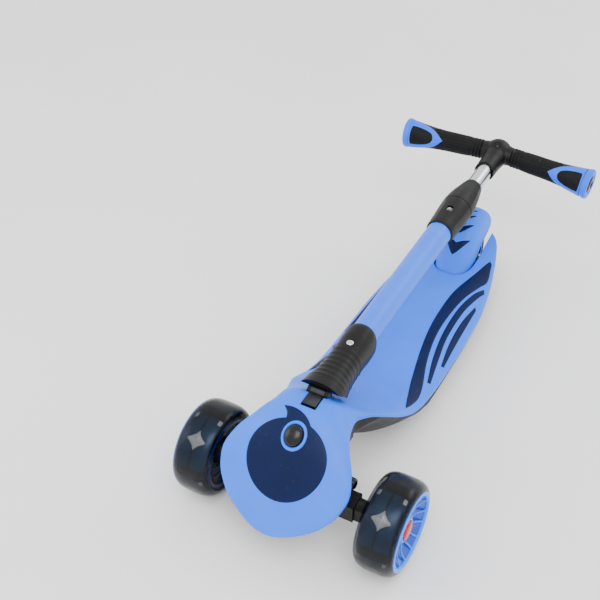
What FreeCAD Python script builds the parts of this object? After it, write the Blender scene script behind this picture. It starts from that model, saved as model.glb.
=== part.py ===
import FreeCAD, Part
import math
import os
import Sketcher

# Folding three-wheel kick scooter, stored with its stem laid back over the deck.
# Frame: +Z up, the rider faces -Y, +X is the rider's left, millimetres.
# Origin: on the ground, under the centre of the whole scooter's box.

DIMENSIONS = {
    "front_axle_y": -276.8,
    "wheel_radius": 60.0, "wheel_width": 52.0, "wheel_track_half": 123.0, "wheel_shoulder": 10.0,
    "barrel_radius": 46.0, "barrel_wall": 3.0, "hub_radius": 16.0, "rim_radius": 50.0,
    "bearing_radius": 11.0, "bearing_width": 7.0, "axle_radius": 4.0, "running_gap": 0.05,
    "rear_radius": 40.0, "rear_width": 30.0, "rear_core_radius": 30.0, "rear_axle_s": 527.0,
    "axle_seat_radius": 8.0,
    "shell_wall": 3.0, "tray_wall": 2.5, "lip_height": 3.0, "seam_gap": 0.3,
    "cavity_end_s": 432.0, "fender_half_width": 29.0, "fender_wall": 4.0, "fork_slot_half": 20.0,
    "brake_pivot_s": 452.0, "brake_pivot_z": 56.0, "brake_pin_radius": 3.0, "shoe_radius": 44.0,
    "pad_height": 2.0, "panel_radius": 48.0, "panel_height": 1.2,
    "ring_radius": 13.0, "button_radius": 8.7, "button_proud": 9.0, "button_depth": 20.0,
    "fold_pivot_s": 49.0, "fold_pivot_z": 175.0, "fold_pin_radius": 3.0, "lug_radius": 6.5,
    "lug_gap_half": 9.4, "lug_thickness": 4.0, "tongue_half_width": 9.0, "tongue_length": 26.0,
    "frame_plate_z": 111.0, "frame_plate_thickness": 4.0,
    "lean_pivot_z": 80.0, "lean_tilt": 30.0, "lean_pin_radius": 5.0,
    "spring_rod_z": 103.0, "spring_rod_radius": 3.0, "spring_coil_radius": 6.5, "spring_wire": 1.3,
    "stem_z": 169.0, "tube_radius": 17.5, "tube_wall": 1.8, "tube_start_s": 95.0, "tube_end_s": 440.0,
    "clamp_start_s": 398.0, "clamp_seam_s": 458.0, "clamp_end_s": 520.0,
    "inner_radius": 12.0, "inner_wall": 1.5, "inner_start_s": 180.0, "hub_s": 619.0, "hub_z": 170.5,
    "collar_start_s": 561.0, "bar_radius": 11.0, "bar_wall": 1.6, "bar_half": 138.0, "bar_sweep": 2.7, "bar_droop": 2.0,
    "grip_radius": 15.5, "grip_start": 24.0, "sleeve_start": 100.0, "cap_start": 137.0,
    "cap_thickness": 10.0, "cap_radius": 22.5, "plug_bore": 5.0, "plug_depth": 16.0,
}

doc = FreeCAD.newDocument("kick_scooter")
sheet = doc.addObject("Spreadsheet::Sheet", "Sizes")
for row, (alias, number) in enumerate(DIMENSIONS.items(), start=1):
    sheet.set("A%d" % row, alias)
    sheet.set("B%d" % row, str(number))
    sheet.setAlias("B%d" % row, alias)
doc.recompute()

parts = []
X_AXIS = FreeCAD.Vector(1, 0, 0)
Y_AXIS = FreeCAD.Vector(0, 1, 0)
Z_AXIS = FreeCAD.Vector(0, 0, 1)
BIG = 700.0
AXLE_Y = sheet.front_axle_y


def vec(x, s, z):
    """Point at height z, s behind the front axle line."""
    return FreeCAD.Vector(x, AXLE_Y + s, z)


def bind(feature, **cells):
    """Binds properties of a feature to spreadsheet expressions."""
    for name, cell in cells.items():
        if isinstance(cell, str):
            feature.setExpression(name, cell)
        else:
            setattr(feature, name, cell)
    return feature


def keep(feature, label):
    """Marks a feature as a sub-part that becomes a file of its own."""
    feature.Label = label
    parts.append(feature)
    return feature


def placed(position, axis=Z_AXIS):
    return FreeCAD.Placement(position, FreeCAD.Rotation(Z_AXIS, axis))


# ---------------------------------------------------------------- primitives and booleans
def cylinder(name, radius, length, position, axis=Z_AXIS):
    feature = doc.addObject("Part::Cylinder", name)
    bind(feature, Radius=radius, Height=length)
    feature.Placement = placed(position, axis)
    return feature


def box(name, low, high):
    """Box between two corners given as (x, s, z)."""
    feature = doc.addObject("Part::Box", name)
    feature.Length, feature.Width, feature.Height = (b - a for a, b in zip(low, high))
    feature.Placement = FreeCAD.Placement(vec(*low), FreeCAD.Rotation())
    return feature


def cut(name, base, tool):
    feature = doc.addObject("Part::Cut", name)
    feature.Base = base
    feature.Tool = tool
    return feature


def fuse(name, shapes, refine=True):
    feature = doc.addObject("Part::MultiFuse", name)
    feature.Shapes = shapes
    feature.Refine = refine
    return feature


def common(name, shapes):
    feature = doc.addObject("Part::MultiCommon", name)
    feature.Shapes = shapes
    return feature


def group(name, shapes):
    """Separate identical solids that share one node."""
    feature = doc.addObject("Part::Compound", name)
    feature.Links = shapes
    return feature


def sleeve(name, outer, inner, length, position, axis=Z_AXIS):
    """Plain tube with its own outer and inner radius."""
    wall = cylinder(name + "_wall", outer, length, position, axis)
    hollow = cylinder(name + "_hollow", inner, length, position, axis)
    return cut(name, wall, hollow)


# ---------------------------------------------------------------- sketched bodies
def origin_plane(body, role):
    for plane in body.Origin.OriginFeatures:
        if plane.Role == role:
            return plane


def new_sketch(body, name, role, offset=0.0):
    sketch = body.newObject("Sketcher::SketchObject", name)
    sketch.AttachmentSupport = [(origin_plane(body, role), "")]
    sketch.MapMode = "FlatFace"
    sketch.AttachmentOffset = FreeCAD.Placement(FreeCAD.Vector(0, 0, offset), FreeCAD.Rotation())
    return sketch


def flat(point):
    return FreeCAD.Vector(point[0], point[1], 0)


def add_polygon(sketch, points):
    for start, end in zip(points, points[1:] + points[:1]):
        sketch.addGeometry(Part.LineSegment(flat(start), flat(end)), False)


def smooth_curve(points):
    curve = Part.BSplineCurve()
    curve.interpolate([flat(point) for point in points])
    return curve


def add_outline(sketch, runs):
    """Closed outline: each run is a smooth curve, and runs join end to end."""
    for index, run in enumerate(runs):
        if len(run) == 2:
            sketch.addGeometry(Part.LineSegment(flat(run[0]), flat(run[1])), False)
        else:
            sketch.addGeometry(smooth_curve(run), False)
        following = runs[(index + 1) % len(runs)]
        gap = math.dist(run[-1], following[0])
        if gap > 1e-6:
            sketch.addGeometry(Part.LineSegment(flat(run[-1]), flat(following[0])), False)


def turned(name, outline, position, axis=X_AXIS):
    """Body of revolution about its own X axis; the outline is (along axis, radius)."""
    body = doc.addObject("PartDesign::Body", name)
    sketch = new_sketch(body, name + "_profile", "XY_Plane")
    add_polygon(sketch, outline)
    turn = body.newObject("PartDesign::Revolution", name + "_turn")
    turn.Profile = sketch
    turn.ReferenceAxis = (sketch, ["H_Axis"])
    turn.Angle = 360
    body.Placement = FreeCAD.Placement(position, FreeCAD.Rotation(X_AXIS, axis))
    return body


def profile_pad(name, runs, role, length, midplane=True):
    """Body padded from one closed sketch outline."""
    body = doc.addObject("PartDesign::Body", name)
    sketch = new_sketch(body, name + "_outline", role)
    add_outline(sketch, runs)
    pad = body.newObject("PartDesign::Pad", name + "_pad")
    pad.Profile = sketch
    pad.Midplane = midplane
    bind(pad, Length=length)
    return body


def shifted(points, distance):
    """Points moved to the right of their direction of travel, for parallel curves."""
    moved = []
    last = len(points) - 1
    for index, point in enumerate(points):
        before = points[max(index - 1, 0)]
        after = points[min(index + 1, last)]
        run = (after[0] - before[0], after[1] - before[1])
        size = math.hypot(*run)
        moved.append((point[0] + distance * run[1] / size, point[1] - distance * run[0] / size))
    return moved


def side(points):
    """(s, z) outline points to the (y, z) of a side sketch."""
    return [(AXLE_Y + s, z) for s, z in points]


# ---------------------------------------------------------------- lines of the shells
# Half plan of the light shell from nose to tail: (half width, s).
HALF_PLAN = [(0, -86), (32, -80), (62, -66), (79, -48), (83, -34), (77, -16), (63, 6), (51, 32), (48, 54),
             (55, 76), (66, 104), (74, 140), (78, 190), (79, 254), (79, 320), (76, 390), (69, 440),
             (61, 480), (51, 516), (43, 534), (34, 542)]
# Top line from the nose over the hood, down the neck and along the deck: (s, z).
TOP_LINE = [(-86, 68), (-64, 100), (-42, 127), (-20, 150), (4, 168), (22, 176), (40, 177), (54, 167),
            (70, 150), (90, 133), (112, 119), (138, 102), (168, 87), (205, 76), (250, 71), (310, 69.5),
            (380, 68), (430, 65), (465, 64), (496, 71), (520, 81), (542, 86)]
# Lower edge of the light shell, where it meets the dark tray: (s, z).
RIM_LINE = [(-86, 63), (-66, 87), (-39, 113), (-10, 134), (19, 146), (45, 147), (70, 138), (102, 115),
            (130, 92), (165, 69), (200, 57), (254, 51), (320, 49), (410, 46), (451, 44), (490, 48),
            (516, 59), (534, 73), (542, 82)]
# Underside of the dark tray from the nose over the front truck to the flat base: (s, z).
TRAY_ARCH = [(-82, 60), (-68, 75), (-45, 95), (-20, 112), (0, 121), (22, 124), (45, 119), (62, 106),
             (80, 84), (100, 61), (122, 47), (150, 41.5), (180, 41)]


def plan_runs(inset=0.0, end_s=None):
    """Closed plan outline, inset from the shell's outer wall and cut off straight at end_s."""
    half = [point for point in HALF_PLAN if end_s is None or point[1] < end_s]
    if end_s is not None:
        after = HALF_PLAN[len(half)]
        part = (end_s - half[-1][1]) / (after[1] - half[-1][1])
        half.append((half[-1][0] + part * (after[0] - half[-1][0]), end_s))
    right = [(x, AXLE_Y + s) for x, s in half]
    left = [(-x, y) for x, y in reversed(right[1:])]
    whole = left + right
    if inset:
        whole = shifted(whole, -inset)
    return [whole]


def band(name, upper, lower, width):
    """Slab across the scooter between two lines seen from the side."""
    return profile_pad(name, [side(upper), side(lower[::-1])], "YZ_Plane", width)


# ---------------------------------------------------------------- light shell: hood, neck and deck
def slope_frame():
    """Centre of the fold button on the hood and the outward direction there."""
    tangent = FreeCAD.Vector(0, 24, 18).normalize()
    normal = FreeCAD.Vector(0, -tangent.z, tangent.y)
    return vec(0, -8, 159.0), normal


button_centre, button_out = slope_frame()


def along_button(distance):
    return button_centre + button_out * distance


BOSS_PLACES = [(-34, -16), (34, -16), (-34, 30), (34, 30)]


def make_deck_shell():
    wall = sheet.shell_wall
    outer_plan = profile_pad("shell_plan", plan_runs(), "XY_Plane", BIG, midplane=False)
    outer_side = band("shell_side", TOP_LINE, RIM_LINE, BIG)
    outer = common("shell_outer", [outer_plan, outer_side])
    inner_plan = profile_pad("shell_inner_plan", plan_runs(wall, sheet.cavity_end_s), "XY_Plane", BIG,
                             midplane=False)
    inner_top = shifted(TOP_LINE[:-4], wall)
    inner_low = [(inner_top[0][0], 20.0), (inner_top[-1][0], 20.0)]
    inner_side = band("shell_inner_side", inner_top, inner_low, BIG)
    hollow = common("shell_hollow", [inner_plan, inner_side])
    shell = cut("shell_skin", outer, hollow)

    bosses = []
    for index, (x, s) in enumerate(BOSS_PLACES):
        post = cylinder("shell_boss_%d" % index, 5.0, 60.0, vec(x, s, sheet.frame_plate_z + 4.0))
        bosses.append(post)
    boss_posts = common("shell_bosses", [fuse("boss_posts", bosses), outer])
    shell = fuse("shell_with_bosses", [shell, boss_posts])

    holes = [cylinder("boss_bore_%d" % index, 2.0, 22.0, vec(x, s, sheet.frame_plate_z))
             for index, (x, s) in enumerate(BOSS_PLACES)]
    holes.append(box("tongue_slot", (-10.5, 20, 140), (10.5, 44, 200)))
    holes.append(box("lug_slot", (-15, 40, 140), (15, 62, 200)))
    holes.append(box("fender_slot", (-31, 441, 0), (31, 600, 200)))
    holes.append(cylinder("ring_seat", "Sizes.ring_radius", 40.0, along_button(-20), button_out))
    pin_bore = cylinder("brake_pin_bore", "Sizes.brake_pin_radius", 80.0,
                        vec(-40, sheet.brake_pivot_s, sheet.brake_pivot_z), X_AXIS)
    holes.append(pin_bore)
    keep(cut("deck_shell", shell, fuse("shell_holes", holes, refine=False)), "deck_shell")


# ---------------------------------------------------------------- dark tray under the shell
def make_under_tray():
    inset = sheet.shell_wall + sheet.seam_gap
    end_s = sheet.cavity_end_s - 2.0
    lip = [(s, z + (sheet.lip_height if s > -50 else -0.5)) for s, z in RIM_LINE if s < 428]
    lip.append((end_s, 51.0))
    front_side = profile_pad("tray_side", [side(lip), side([(end_s, 41.0), (180, 41.0)]),
                                           side(TRAY_ARCH[::-1])], "YZ_Plane", BIG)
    front_plan = profile_pad("tray_plan", plan_runs(inset, end_s), "XY_Plane", BIG, midplane=False)
    block = common("tray_block", [front_plan, front_side])
    floor = [(s, z + sheet.tray_wall) for s, z in TRAY_ARCH] + [(end_s - 4, 41.0 + sheet.tray_wall)]
    raised = [(-60, 300), (end_s - 4, 300)]
    hollow_side = profile_pad("tray_hollow_side",
                              [side(floor[:-1]), side(floor[-2:]), side(raised[::-1])],
                              "YZ_Plane", BIG)
    hollow_plan = profile_pad("tray_hollow_plan", plan_runs(inset + sheet.tray_wall, end_s - 4),
                              "XY_Plane", BIG, midplane=False)
    tray = cut("tray_open", block, common("tray_hollow", [hollow_plan, hollow_side]))

    fork_top = [(end_s - 6, 44.5)] + [(s, z - sheet.seam_gap) for s, z in RIM_LINE if s > 440]
    fork_low = [(end_s - 6, 41.0), (440, 37), (465, 32), (490, 30), (512, 31), (526, 38), (536, 56), (539, 72)]
    fork_side = band("fork_side", fork_top, fork_low, BIG)
    fork_plan = profile_pad("fork_plan", plan_runs(4.0), "XY_Plane", BIG, midplane=False)
    fork = common("tray_fork", [fork_plan, fork_side])
    joined = fuse("tray_joined", [tray, fork])

    holes = [box("frame_window", (-43.5, -36, 60), (43.5, 60, 200)),
             box("wheel_slot", (-sheet.fork_slot_half, 482, 0), (sheet.fork_slot_half, 600, 200)),
             cylinder("axle_bore", "Sizes.axle_radius", 120.0, vec(-60, sheet.rear_axle_s, 40), X_AXIS),
             cylinder("nut_seat", "Sizes.axle_seat_radius", 20.0, vec(37.8, sheet.rear_axle_s, 40), X_AXIS),
             cylinder("head_seat", "Sizes.axle_seat_radius", 20.0, vec(-61.9, sheet.rear_axle_s, 40), X_AXIS)]
    keep(cut("under_tray", joined, fuse("tray_holes", holes, refine=False)), "under_tray")


# ---------------------------------------------------------------- dark pads and hood panel
PAD_OUTLINES = [
    # Each pad: inner edge, then outer edge, both as (x, s) from front to back.
    ([(56, 172), (47, 206), (38, 262), (33, 330), (33, 400), (40, 470)],
     [(63, 196), (54, 236), (44, 290), (41, 340), (43, 395), (52, 440), (56, 468)]),
    ([(66, 240), (55, 290), (51, 345), (54, 400), (60, 440)],
     [(70, 244), (61, 292), (57, 345), (60, 400), (64, 436)]),
    ([(71, 282), (65, 330), (64, 375), (67, 412)],
     [(73, 288), (69, 332), (68.5, 372), (70, 408)]),
]


def skin_layer(name, height):
    """Layer of even height standing on the shell's top line."""
    return band(name, shifted(TOP_LINE, -height), TOP_LINE, BIG)


def make_deck_pads():
    layer = skin_layer("pad_layer", sheet.pad_height)
    pads = []
    for hand, sign in (("left", 1), ("right", -1)):
        for index, (inner, outer) in enumerate(PAD_OUTLINES):
            name = "pad_%s_%d" % (hand, index)
            edge_in = [(sign * x, AXLE_Y + s) for x, s in inner]
            edge_out = [(sign * x, AXLE_Y + s) for x, s in outer[::-1]]
            plug = profile_pad(name + "_plan", [edge_in, edge_out], "XY_Plane", 200.0, midplane=False)
            pads.append(common(name, [plug, layer]))
    keep(group("deck_pads", pads), "deck_pads")


def make_hood_panel():
    centre = vec(0, -24, 140)
    normal = FreeCAD.Vector(0, -0.70, 0.714).normalize()
    disc = cylinder("panel_disc", "Sizes.panel_radius", 60.0, centre - normal * 30, normal)
    layer = skin_layer("panel_layer", sheet.panel_height)
    blank = common("panel_blank", [disc, layer])
    hole = cylinder("panel_hole", "Sizes.ring_radius + 0.1", 40.0, along_button(-20), button_out)
    keep(cut("hood_panel", blank, hole), "hood_panel")


def make_fold_button():
    ring = turned("button_ring", [(-3, sheet.button_radius + 0.5), (1.5, sheet.button_radius + 0.5),
                                  (3, sheet.button_radius + 1.6), (3, 11.8), (1.5, sheet.ring_radius),
                                  (-3, sheet.ring_radius)], button_centre, button_out)
    keep(ring, "button_ring")
    proud = sheet.button_proud
    radius = sheet.button_radius
    outline = [(-sheet.button_depth, 0), (-sheet.button_depth, 3), (-7, 3), (-7, 7.5), (-6, radius),
               (proud - 4, radius), (proud - 2, radius - 0.8), (proud - 0.7, radius - 2.6), (proud, 3.5),
               (proud, 0)]
    keep(turned("fold_button", outline, button_centre, button_out), "fold_button")
    spring = coil("fold_button_spring", 4.8, 0.7, 10.0, 5, along_button(-18.3), button_out)
    keep(spring, "fold_button_spring")


def coil(name, radius, wire, length, turns, position, axis):
    """Open coil spring swept along a helix."""
    helix = Part.makeHelix(length / turns, length, radius)
    start = FreeCAD.Vector(radius, 0, 0)
    circle = Part.makeCircle(wire, start, FreeCAD.Vector(0, 1, length / turns / (2 * math.pi * radius)))
    solid = Part.Wire(helix.Edges).makePipeShell([Part.Wire(circle)], True, True)
    feature = doc.addObject("Part::Feature", name)
    feature.Shape = solid
    feature.Placement = placed(position, axis)
    return feature


# ---------------------------------------------------------------- welded steel frame inside the hood
def lean_axis():
    tilt = math.radians(sheet.lean_tilt)
    return FreeCAD.Vector(0, -math.cos(tilt), math.sin(tilt))


def lean_point(distance):
    return vec(0, 0, sheet.lean_pivot_z) + lean_axis() * distance


def make_front_frame():
    base_z = sheet.frame_plate_z
    top_z = base_z + sheet.frame_plate_thickness
    lug_in = sheet.lug_gap_half
    lug_out = lug_in + sheet.lug_thickness
    pieces = [box("frame_plate", (-42, -34, base_z), (42, 58, top_z)),
              box("frame_front", (-20, -34, 84), (20, -30, top_z)),
              box("frame_rear", (-20, 30, 50), (20, 34, top_z))]
    for hand, sign in (("left", 1), ("right", -1)):
        low, high = sorted((sign * lug_in, sign * lug_out))
        pieces.append(box("lug_post_" + hand, (low, 41, top_z), (high, 57, sheet.fold_pivot_z)))
        eye = cylinder("lug_eye_" + hand, "Sizes.lug_radius", "Sizes.lug_thickness",
                       vec(low, sheet.fold_pivot_s, sheet.fold_pivot_z), X_AXIS)
        pieces.append(eye)
        low, high = sorted((sign * 36, sign * 40))
        pieces.append(box("rod_bracket_" + hand, (low, -8, 94), (high, 8, base_z)))
    body = fuse("frame_body", pieces)
    holes = [cylinder("frame_pin_bore", "Sizes.fold_pin_radius", 40.0,
                      vec(-20, sheet.fold_pivot_s, sheet.fold_pivot_z), X_AXIS),
             cylinder("frame_rod_bore", "Sizes.spring_rod_radius", 100.0,
                      vec(-50, 0, sheet.spring_rod_z), X_AXIS),
             cylinder("frame_lean_bore", "Sizes.lean_pin_radius", 120.0, lean_point(-60), lean_axis())]
    for index, (x, s) in enumerate(BOSS_PLACES):
        holes.append(cylinder("frame_bolt_bore_%d" % index, 2.0, 40.0, vec(x, s, 90)))
    keep(cut("front_frame", body, fuse("frame_holes", holes, refine=False)), "front_frame")

    pin = cylinder("fold_pin_shank", "Sizes.fold_pin_radius", 26.8,
                   vec(-lug_out, sheet.fold_pivot_s, sheet.fold_pivot_z), X_AXIS)
    keep(pin, "fold_pin")

    bolts = []
    for index, (x, s) in enumerate(BOSS_PLACES):
        bolts.append(turned("frame_bolt_%d" % index, [(0, 0), (0, 4), (2.6, 4), (2.6, 2), (22, 2), (22, 0)],
                            vec(x, s, base_z - 2.6), Z_AXIS))
    keep(group("frame_bolts", bolts), "frame_bolts")

    radius = sheet.lean_pin_radius
    outline = [(-49, 0), (-49, 8), (-44.5, 8), (-44.5, radius), (42, radius), (42, 0)]
    keep(turned("lean_pin", outline, lean_point(0), lean_axis()), "lean_pin")

    rod = cylinder("spring_rod_shank", "Sizes.spring_rod_radius", 144.0, vec(-72, 0, sheet.spring_rod_z),
                   X_AXIS)
    keep(rod, "spring_rod")
    knobs = []
    knob_line = [(0, 3), (0, 6.2), (1.5, 7), (9, 7), (11, 5.6), (12, 3.5), (12, 0), (8, 0), (8, 3)]
    for sign in (1, -1):
        knobs.append(turned("rod_knob_%d" % (sign + 1), knob_line, vec(sign * 64, 0, sheet.spring_rod_z),
                            X_AXIS * sign))
    keep(group("rod_knobs", knobs), "rod_knobs")
    for hand, start in (("left", 4.6), ("right", -35.6)):
        spring = coil("lean_spring_" + hand, sheet.spring_coil_radius, sheet.spring_wire, 28.0, 5,
                      vec(start + 1.5, 0, sheet.spring_rod_z), X_AXIS)
        keep(spring, "lean_spring_" + hand)


# ---------------------------------------------------------------- front truck with its axle
def make_truck():
    rod_z = sheet.spring_rod_z
    pieces = [box("beam_block", (-24, -24, 47), (24, 24, 92)),
              box("beam_lug", (-4, -9, 90), (4, 9, 109))]
    for hand, sign in (("left", 1), ("right", -1)):
        low, high = sorted((sign * 20, sign * 78))
        pieces.append(box("beam_arm_" + hand, (low, -13, 49), (high, 13, 74)))
        low, high = sorted((sign * 76, sign * 93))
        pieces.append(box("beam_tip_" + hand, (low, -10, 50), (high, 10, 70)))
    body = fuse("beam_body", pieces)
    gap = sheet.running_gap
    holes = [cylinder("beam_bore_left", "Sizes.axle_radius", 60.0, vec(60, 0, 60), X_AXIS),
             cylinder("beam_bore_right", "Sizes.axle_radius", 60.0, vec(-120, 0, 60), X_AXIS),
             cylinder("beam_rod_hole", "Sizes.spring_rod_radius + 2", 20.0, vec(-10, 0, rod_z), X_AXIS),
             cylinder("beam_lean_bore", sheet.lean_pin_radius + gap, 120.0, lean_point(-60), lean_axis())]
    keep(cut("axle_beam", body, fuse("beam_holes", holes, refine=False)), "axle_beam")
    for hand, sign in (("left", 1), ("right", -1)):
        start = 60 if sign > 0 else -143
        stub = cylinder("front_axle_%s_shank" % hand, "Sizes.axle_radius", 83.0, vec(start, 0, 60), X_AXIS)
        keep(stub, "front_axle_" + hand)


# ---------------------------------------------------------------- wheels
def bearing_pair(name, position, offset):
    """Two sealed ball bearings that share one node."""
    rings = []
    gap = sheet.running_gap
    for index, place in enumerate((-offset, offset - sheet.bearing_width)):
        rings.append(sleeve("%s_%d" % (name, index), "Sizes.bearing_radius", "Sizes.axle_radius + %g" % gap,
                            "Sizes.bearing_width", position + X_AXIS * place, X_AXIS))
    return keep(group(name, rings), name)


def make_front_wheel(hand, sign):
    """Wheel turned about its own X axis, which points to the outside of the scooter."""
    centre = vec(sign * sheet.wheel_track_half, 0, sheet.wheel_radius)
    outward = X_AXIS * sign
    half = sheet.wheel_width / 2
    radius = sheet.wheel_radius
    barrel = sheet.barrel_radius
    shoulder = sheet.wheel_shoulder
    tread = [(half - shoulder * (1 - math.sin(angle)), radius - shoulder * (1 - math.cos(angle)))
             for angle in (math.radians(step) for step in (0, 22.5, 45, 67.5))]
    rim = sheet.rim_radius
    right_side = tread + [(half, rim), (half - 1, rim - 0.6), (half - 3, barrel)]
    right_side += [(9, barrel), (9, barrel + 2)]
    left_side = [(-along, height) for along, height in reversed(right_side)]
    keep(turned("tyre_" + hand, right_side + left_side, centre, outward), "tyre_" + hand)

    inner = barrel - sheet.barrel_wall
    hub = sheet.hub_radius
    seat = sheet.bearing_radius
    core = [(-half + 2, barrel), (half - 4, barrel), (half - 4, inner), (2, inner), (2, hub), (half - 6, hub),
            (half - 6, seat), (half - 13, seat), (half - 13, seat - 3), (-half + 13, seat - 3),
            (-half + 13, seat), (-half + 6, seat), (-half + 6, hub), (-2, hub), (-2, inner), (-half + 2, inner)]
    keep(turned("wheel_core_" + hand, core, centre, outward), "wheel_core_" + hand)
    bearing_pair("wheel_bearings_" + hand, centre, half - 6)

    # Outer face: rim ring, hub ring and curved spokes in front of the core's web.
    face = half - 4 + 0.2
    ring = turned("rim_ring_" + hand, [(face, barrel - 3), (face, barrel), (half - 3, barrel),
                                       (half - 1, rim - 0.6), (half, rim), (half + 0.5, rim - 1),
                                       (half + 0.4, barrel - 1), (half - 0.5, barrel - 3)], centre, outward)
    hub_ring = turned("hub_ring_" + hand, [(half - 5.8, 12), (half - 5.8, 16), (half - 2, 16), (half - 2, 12)],
                      centre, outward)
    spokes = []
    for index in range(16):
        pair = index // 2
        angle = math.radians(45 * pair + (6 if index % 2 else -6))
        spoke = doc.addObject("Part::Box", "spoke_%s_%d" % (hand, index))
        spoke.Length = 2.0
        spoke.Width = 2.0
        spoke.Height = 28.6
        corner = FreeCAD.Placement(FreeCAD.Vector(0, -1, 15.2), FreeCAD.Rotation())
        spin = FreeCAD.Placement(centre + X_AXIS * (sign * (half - 2.8) - 1.0),
                                 FreeCAD.Rotation(X_AXIS, math.degrees(angle)))
        spoke.Placement = spin.multiply(corner)
        spokes.append(spoke)
    keep(fuse("wheel_spokes_" + hand, [ring, hub_ring] + spokes), "wheel_spokes_" + hand)

    cap = [(half - 4, 0), (half - 4, 11.6), (half + 0.5, 11.6), (half + 2.2, 10), (half + 3, 6), (half + 3.2, 0)]
    keep(turned("hub_cap_" + hand, cap, centre, outward), "hub_cap_" + hand)

    lights = []
    for index in range(6):
        light = doc.addObject("Part::Box", "light_%s_%d" % (hand, index))
        light.Length = 12.0
        light.Width = 10.0
        light.Height = 1.2
        corner = FreeCAD.Placement(FreeCAD.Vector(-6, -5, barrel + 0.02), FreeCAD.Rotation())
        spin = FreeCAD.Placement(centre, FreeCAD.Rotation(X_AXIS, 60 * index + 30))
        light.Placement = spin.multiply(corner)
        lights.append(light)
    keep(group("tyre_lights_" + hand, lights), "tyre_lights_" + hand)


def make_rear_wheel():
    centre = vec(0, sheet.rear_axle_s, sheet.rear_radius)
    half = sheet.rear_width / 2
    radius = sheet.rear_radius
    core = sheet.rear_core_radius
    right_side = [(half - 7, radius), (half - 4.2, radius - 0.8), (half - 1.8, radius - 2.6),
                  (half - 0.4, radius - 5), (half, radius - 7.5), (half - 0.6, core)]
    tyre = right_side + [(-along, height) for along, height in reversed(right_side)]
    keep(turned("rear_tyre", tyre, centre), "rear_tyre")
    seat = sheet.bearing_radius
    outline = [(half - 1.2, core), (half - 1.2, core - 3), (half - 4, core - 4), (half - 4, 16), (half - 2, 15),
               (half - 2, seat), (half - 9, seat), (half - 9, seat - 3)]
    outline += [(-along, height) for along, height in reversed(outline)]
    keep(turned("rear_core", outline, centre), "rear_core")
    bearing_pair("rear_bearings", centre, half - 2)

    bolt = [(-46, 0), (-46, 6), (-42, 6.5), (-42, sheet.axle_radius), (42, sheet.axle_radius), (42, 0)]
    keep(turned("rear_axle_bolt", bolt, centre), "rear_axle_bolt")
    nut = sleeve("rear_axle_nut_body", 6.5, "Sizes.axle_radius", 4.0, centre + X_AXIS * 37.9, X_AXIS)
    keep(nut, "rear_axle_nut")
    spacers = [sleeve("rear_spacer_%d" % index, 6.0, "Sizes.axle_radius", 6.6,
                      centre + X_AXIS * start, X_AXIS) for index, start in enumerate((13.3, -19.9))]
    keep(group("rear_spacers", spacers), "rear_spacers")


# ---------------------------------------------------------------- rear brake fender
FENDER_TOP = [(446, 62), (456, 77), (470, 97), (486, 115), (506, 125), (528, 127), (546, 120), (556, 106),
              (554, 96)]
FENDER_LOW = [(554, 96), (540, 91), (524, 88.5), (504, 83), (490, 71), (482, 54)]


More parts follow.
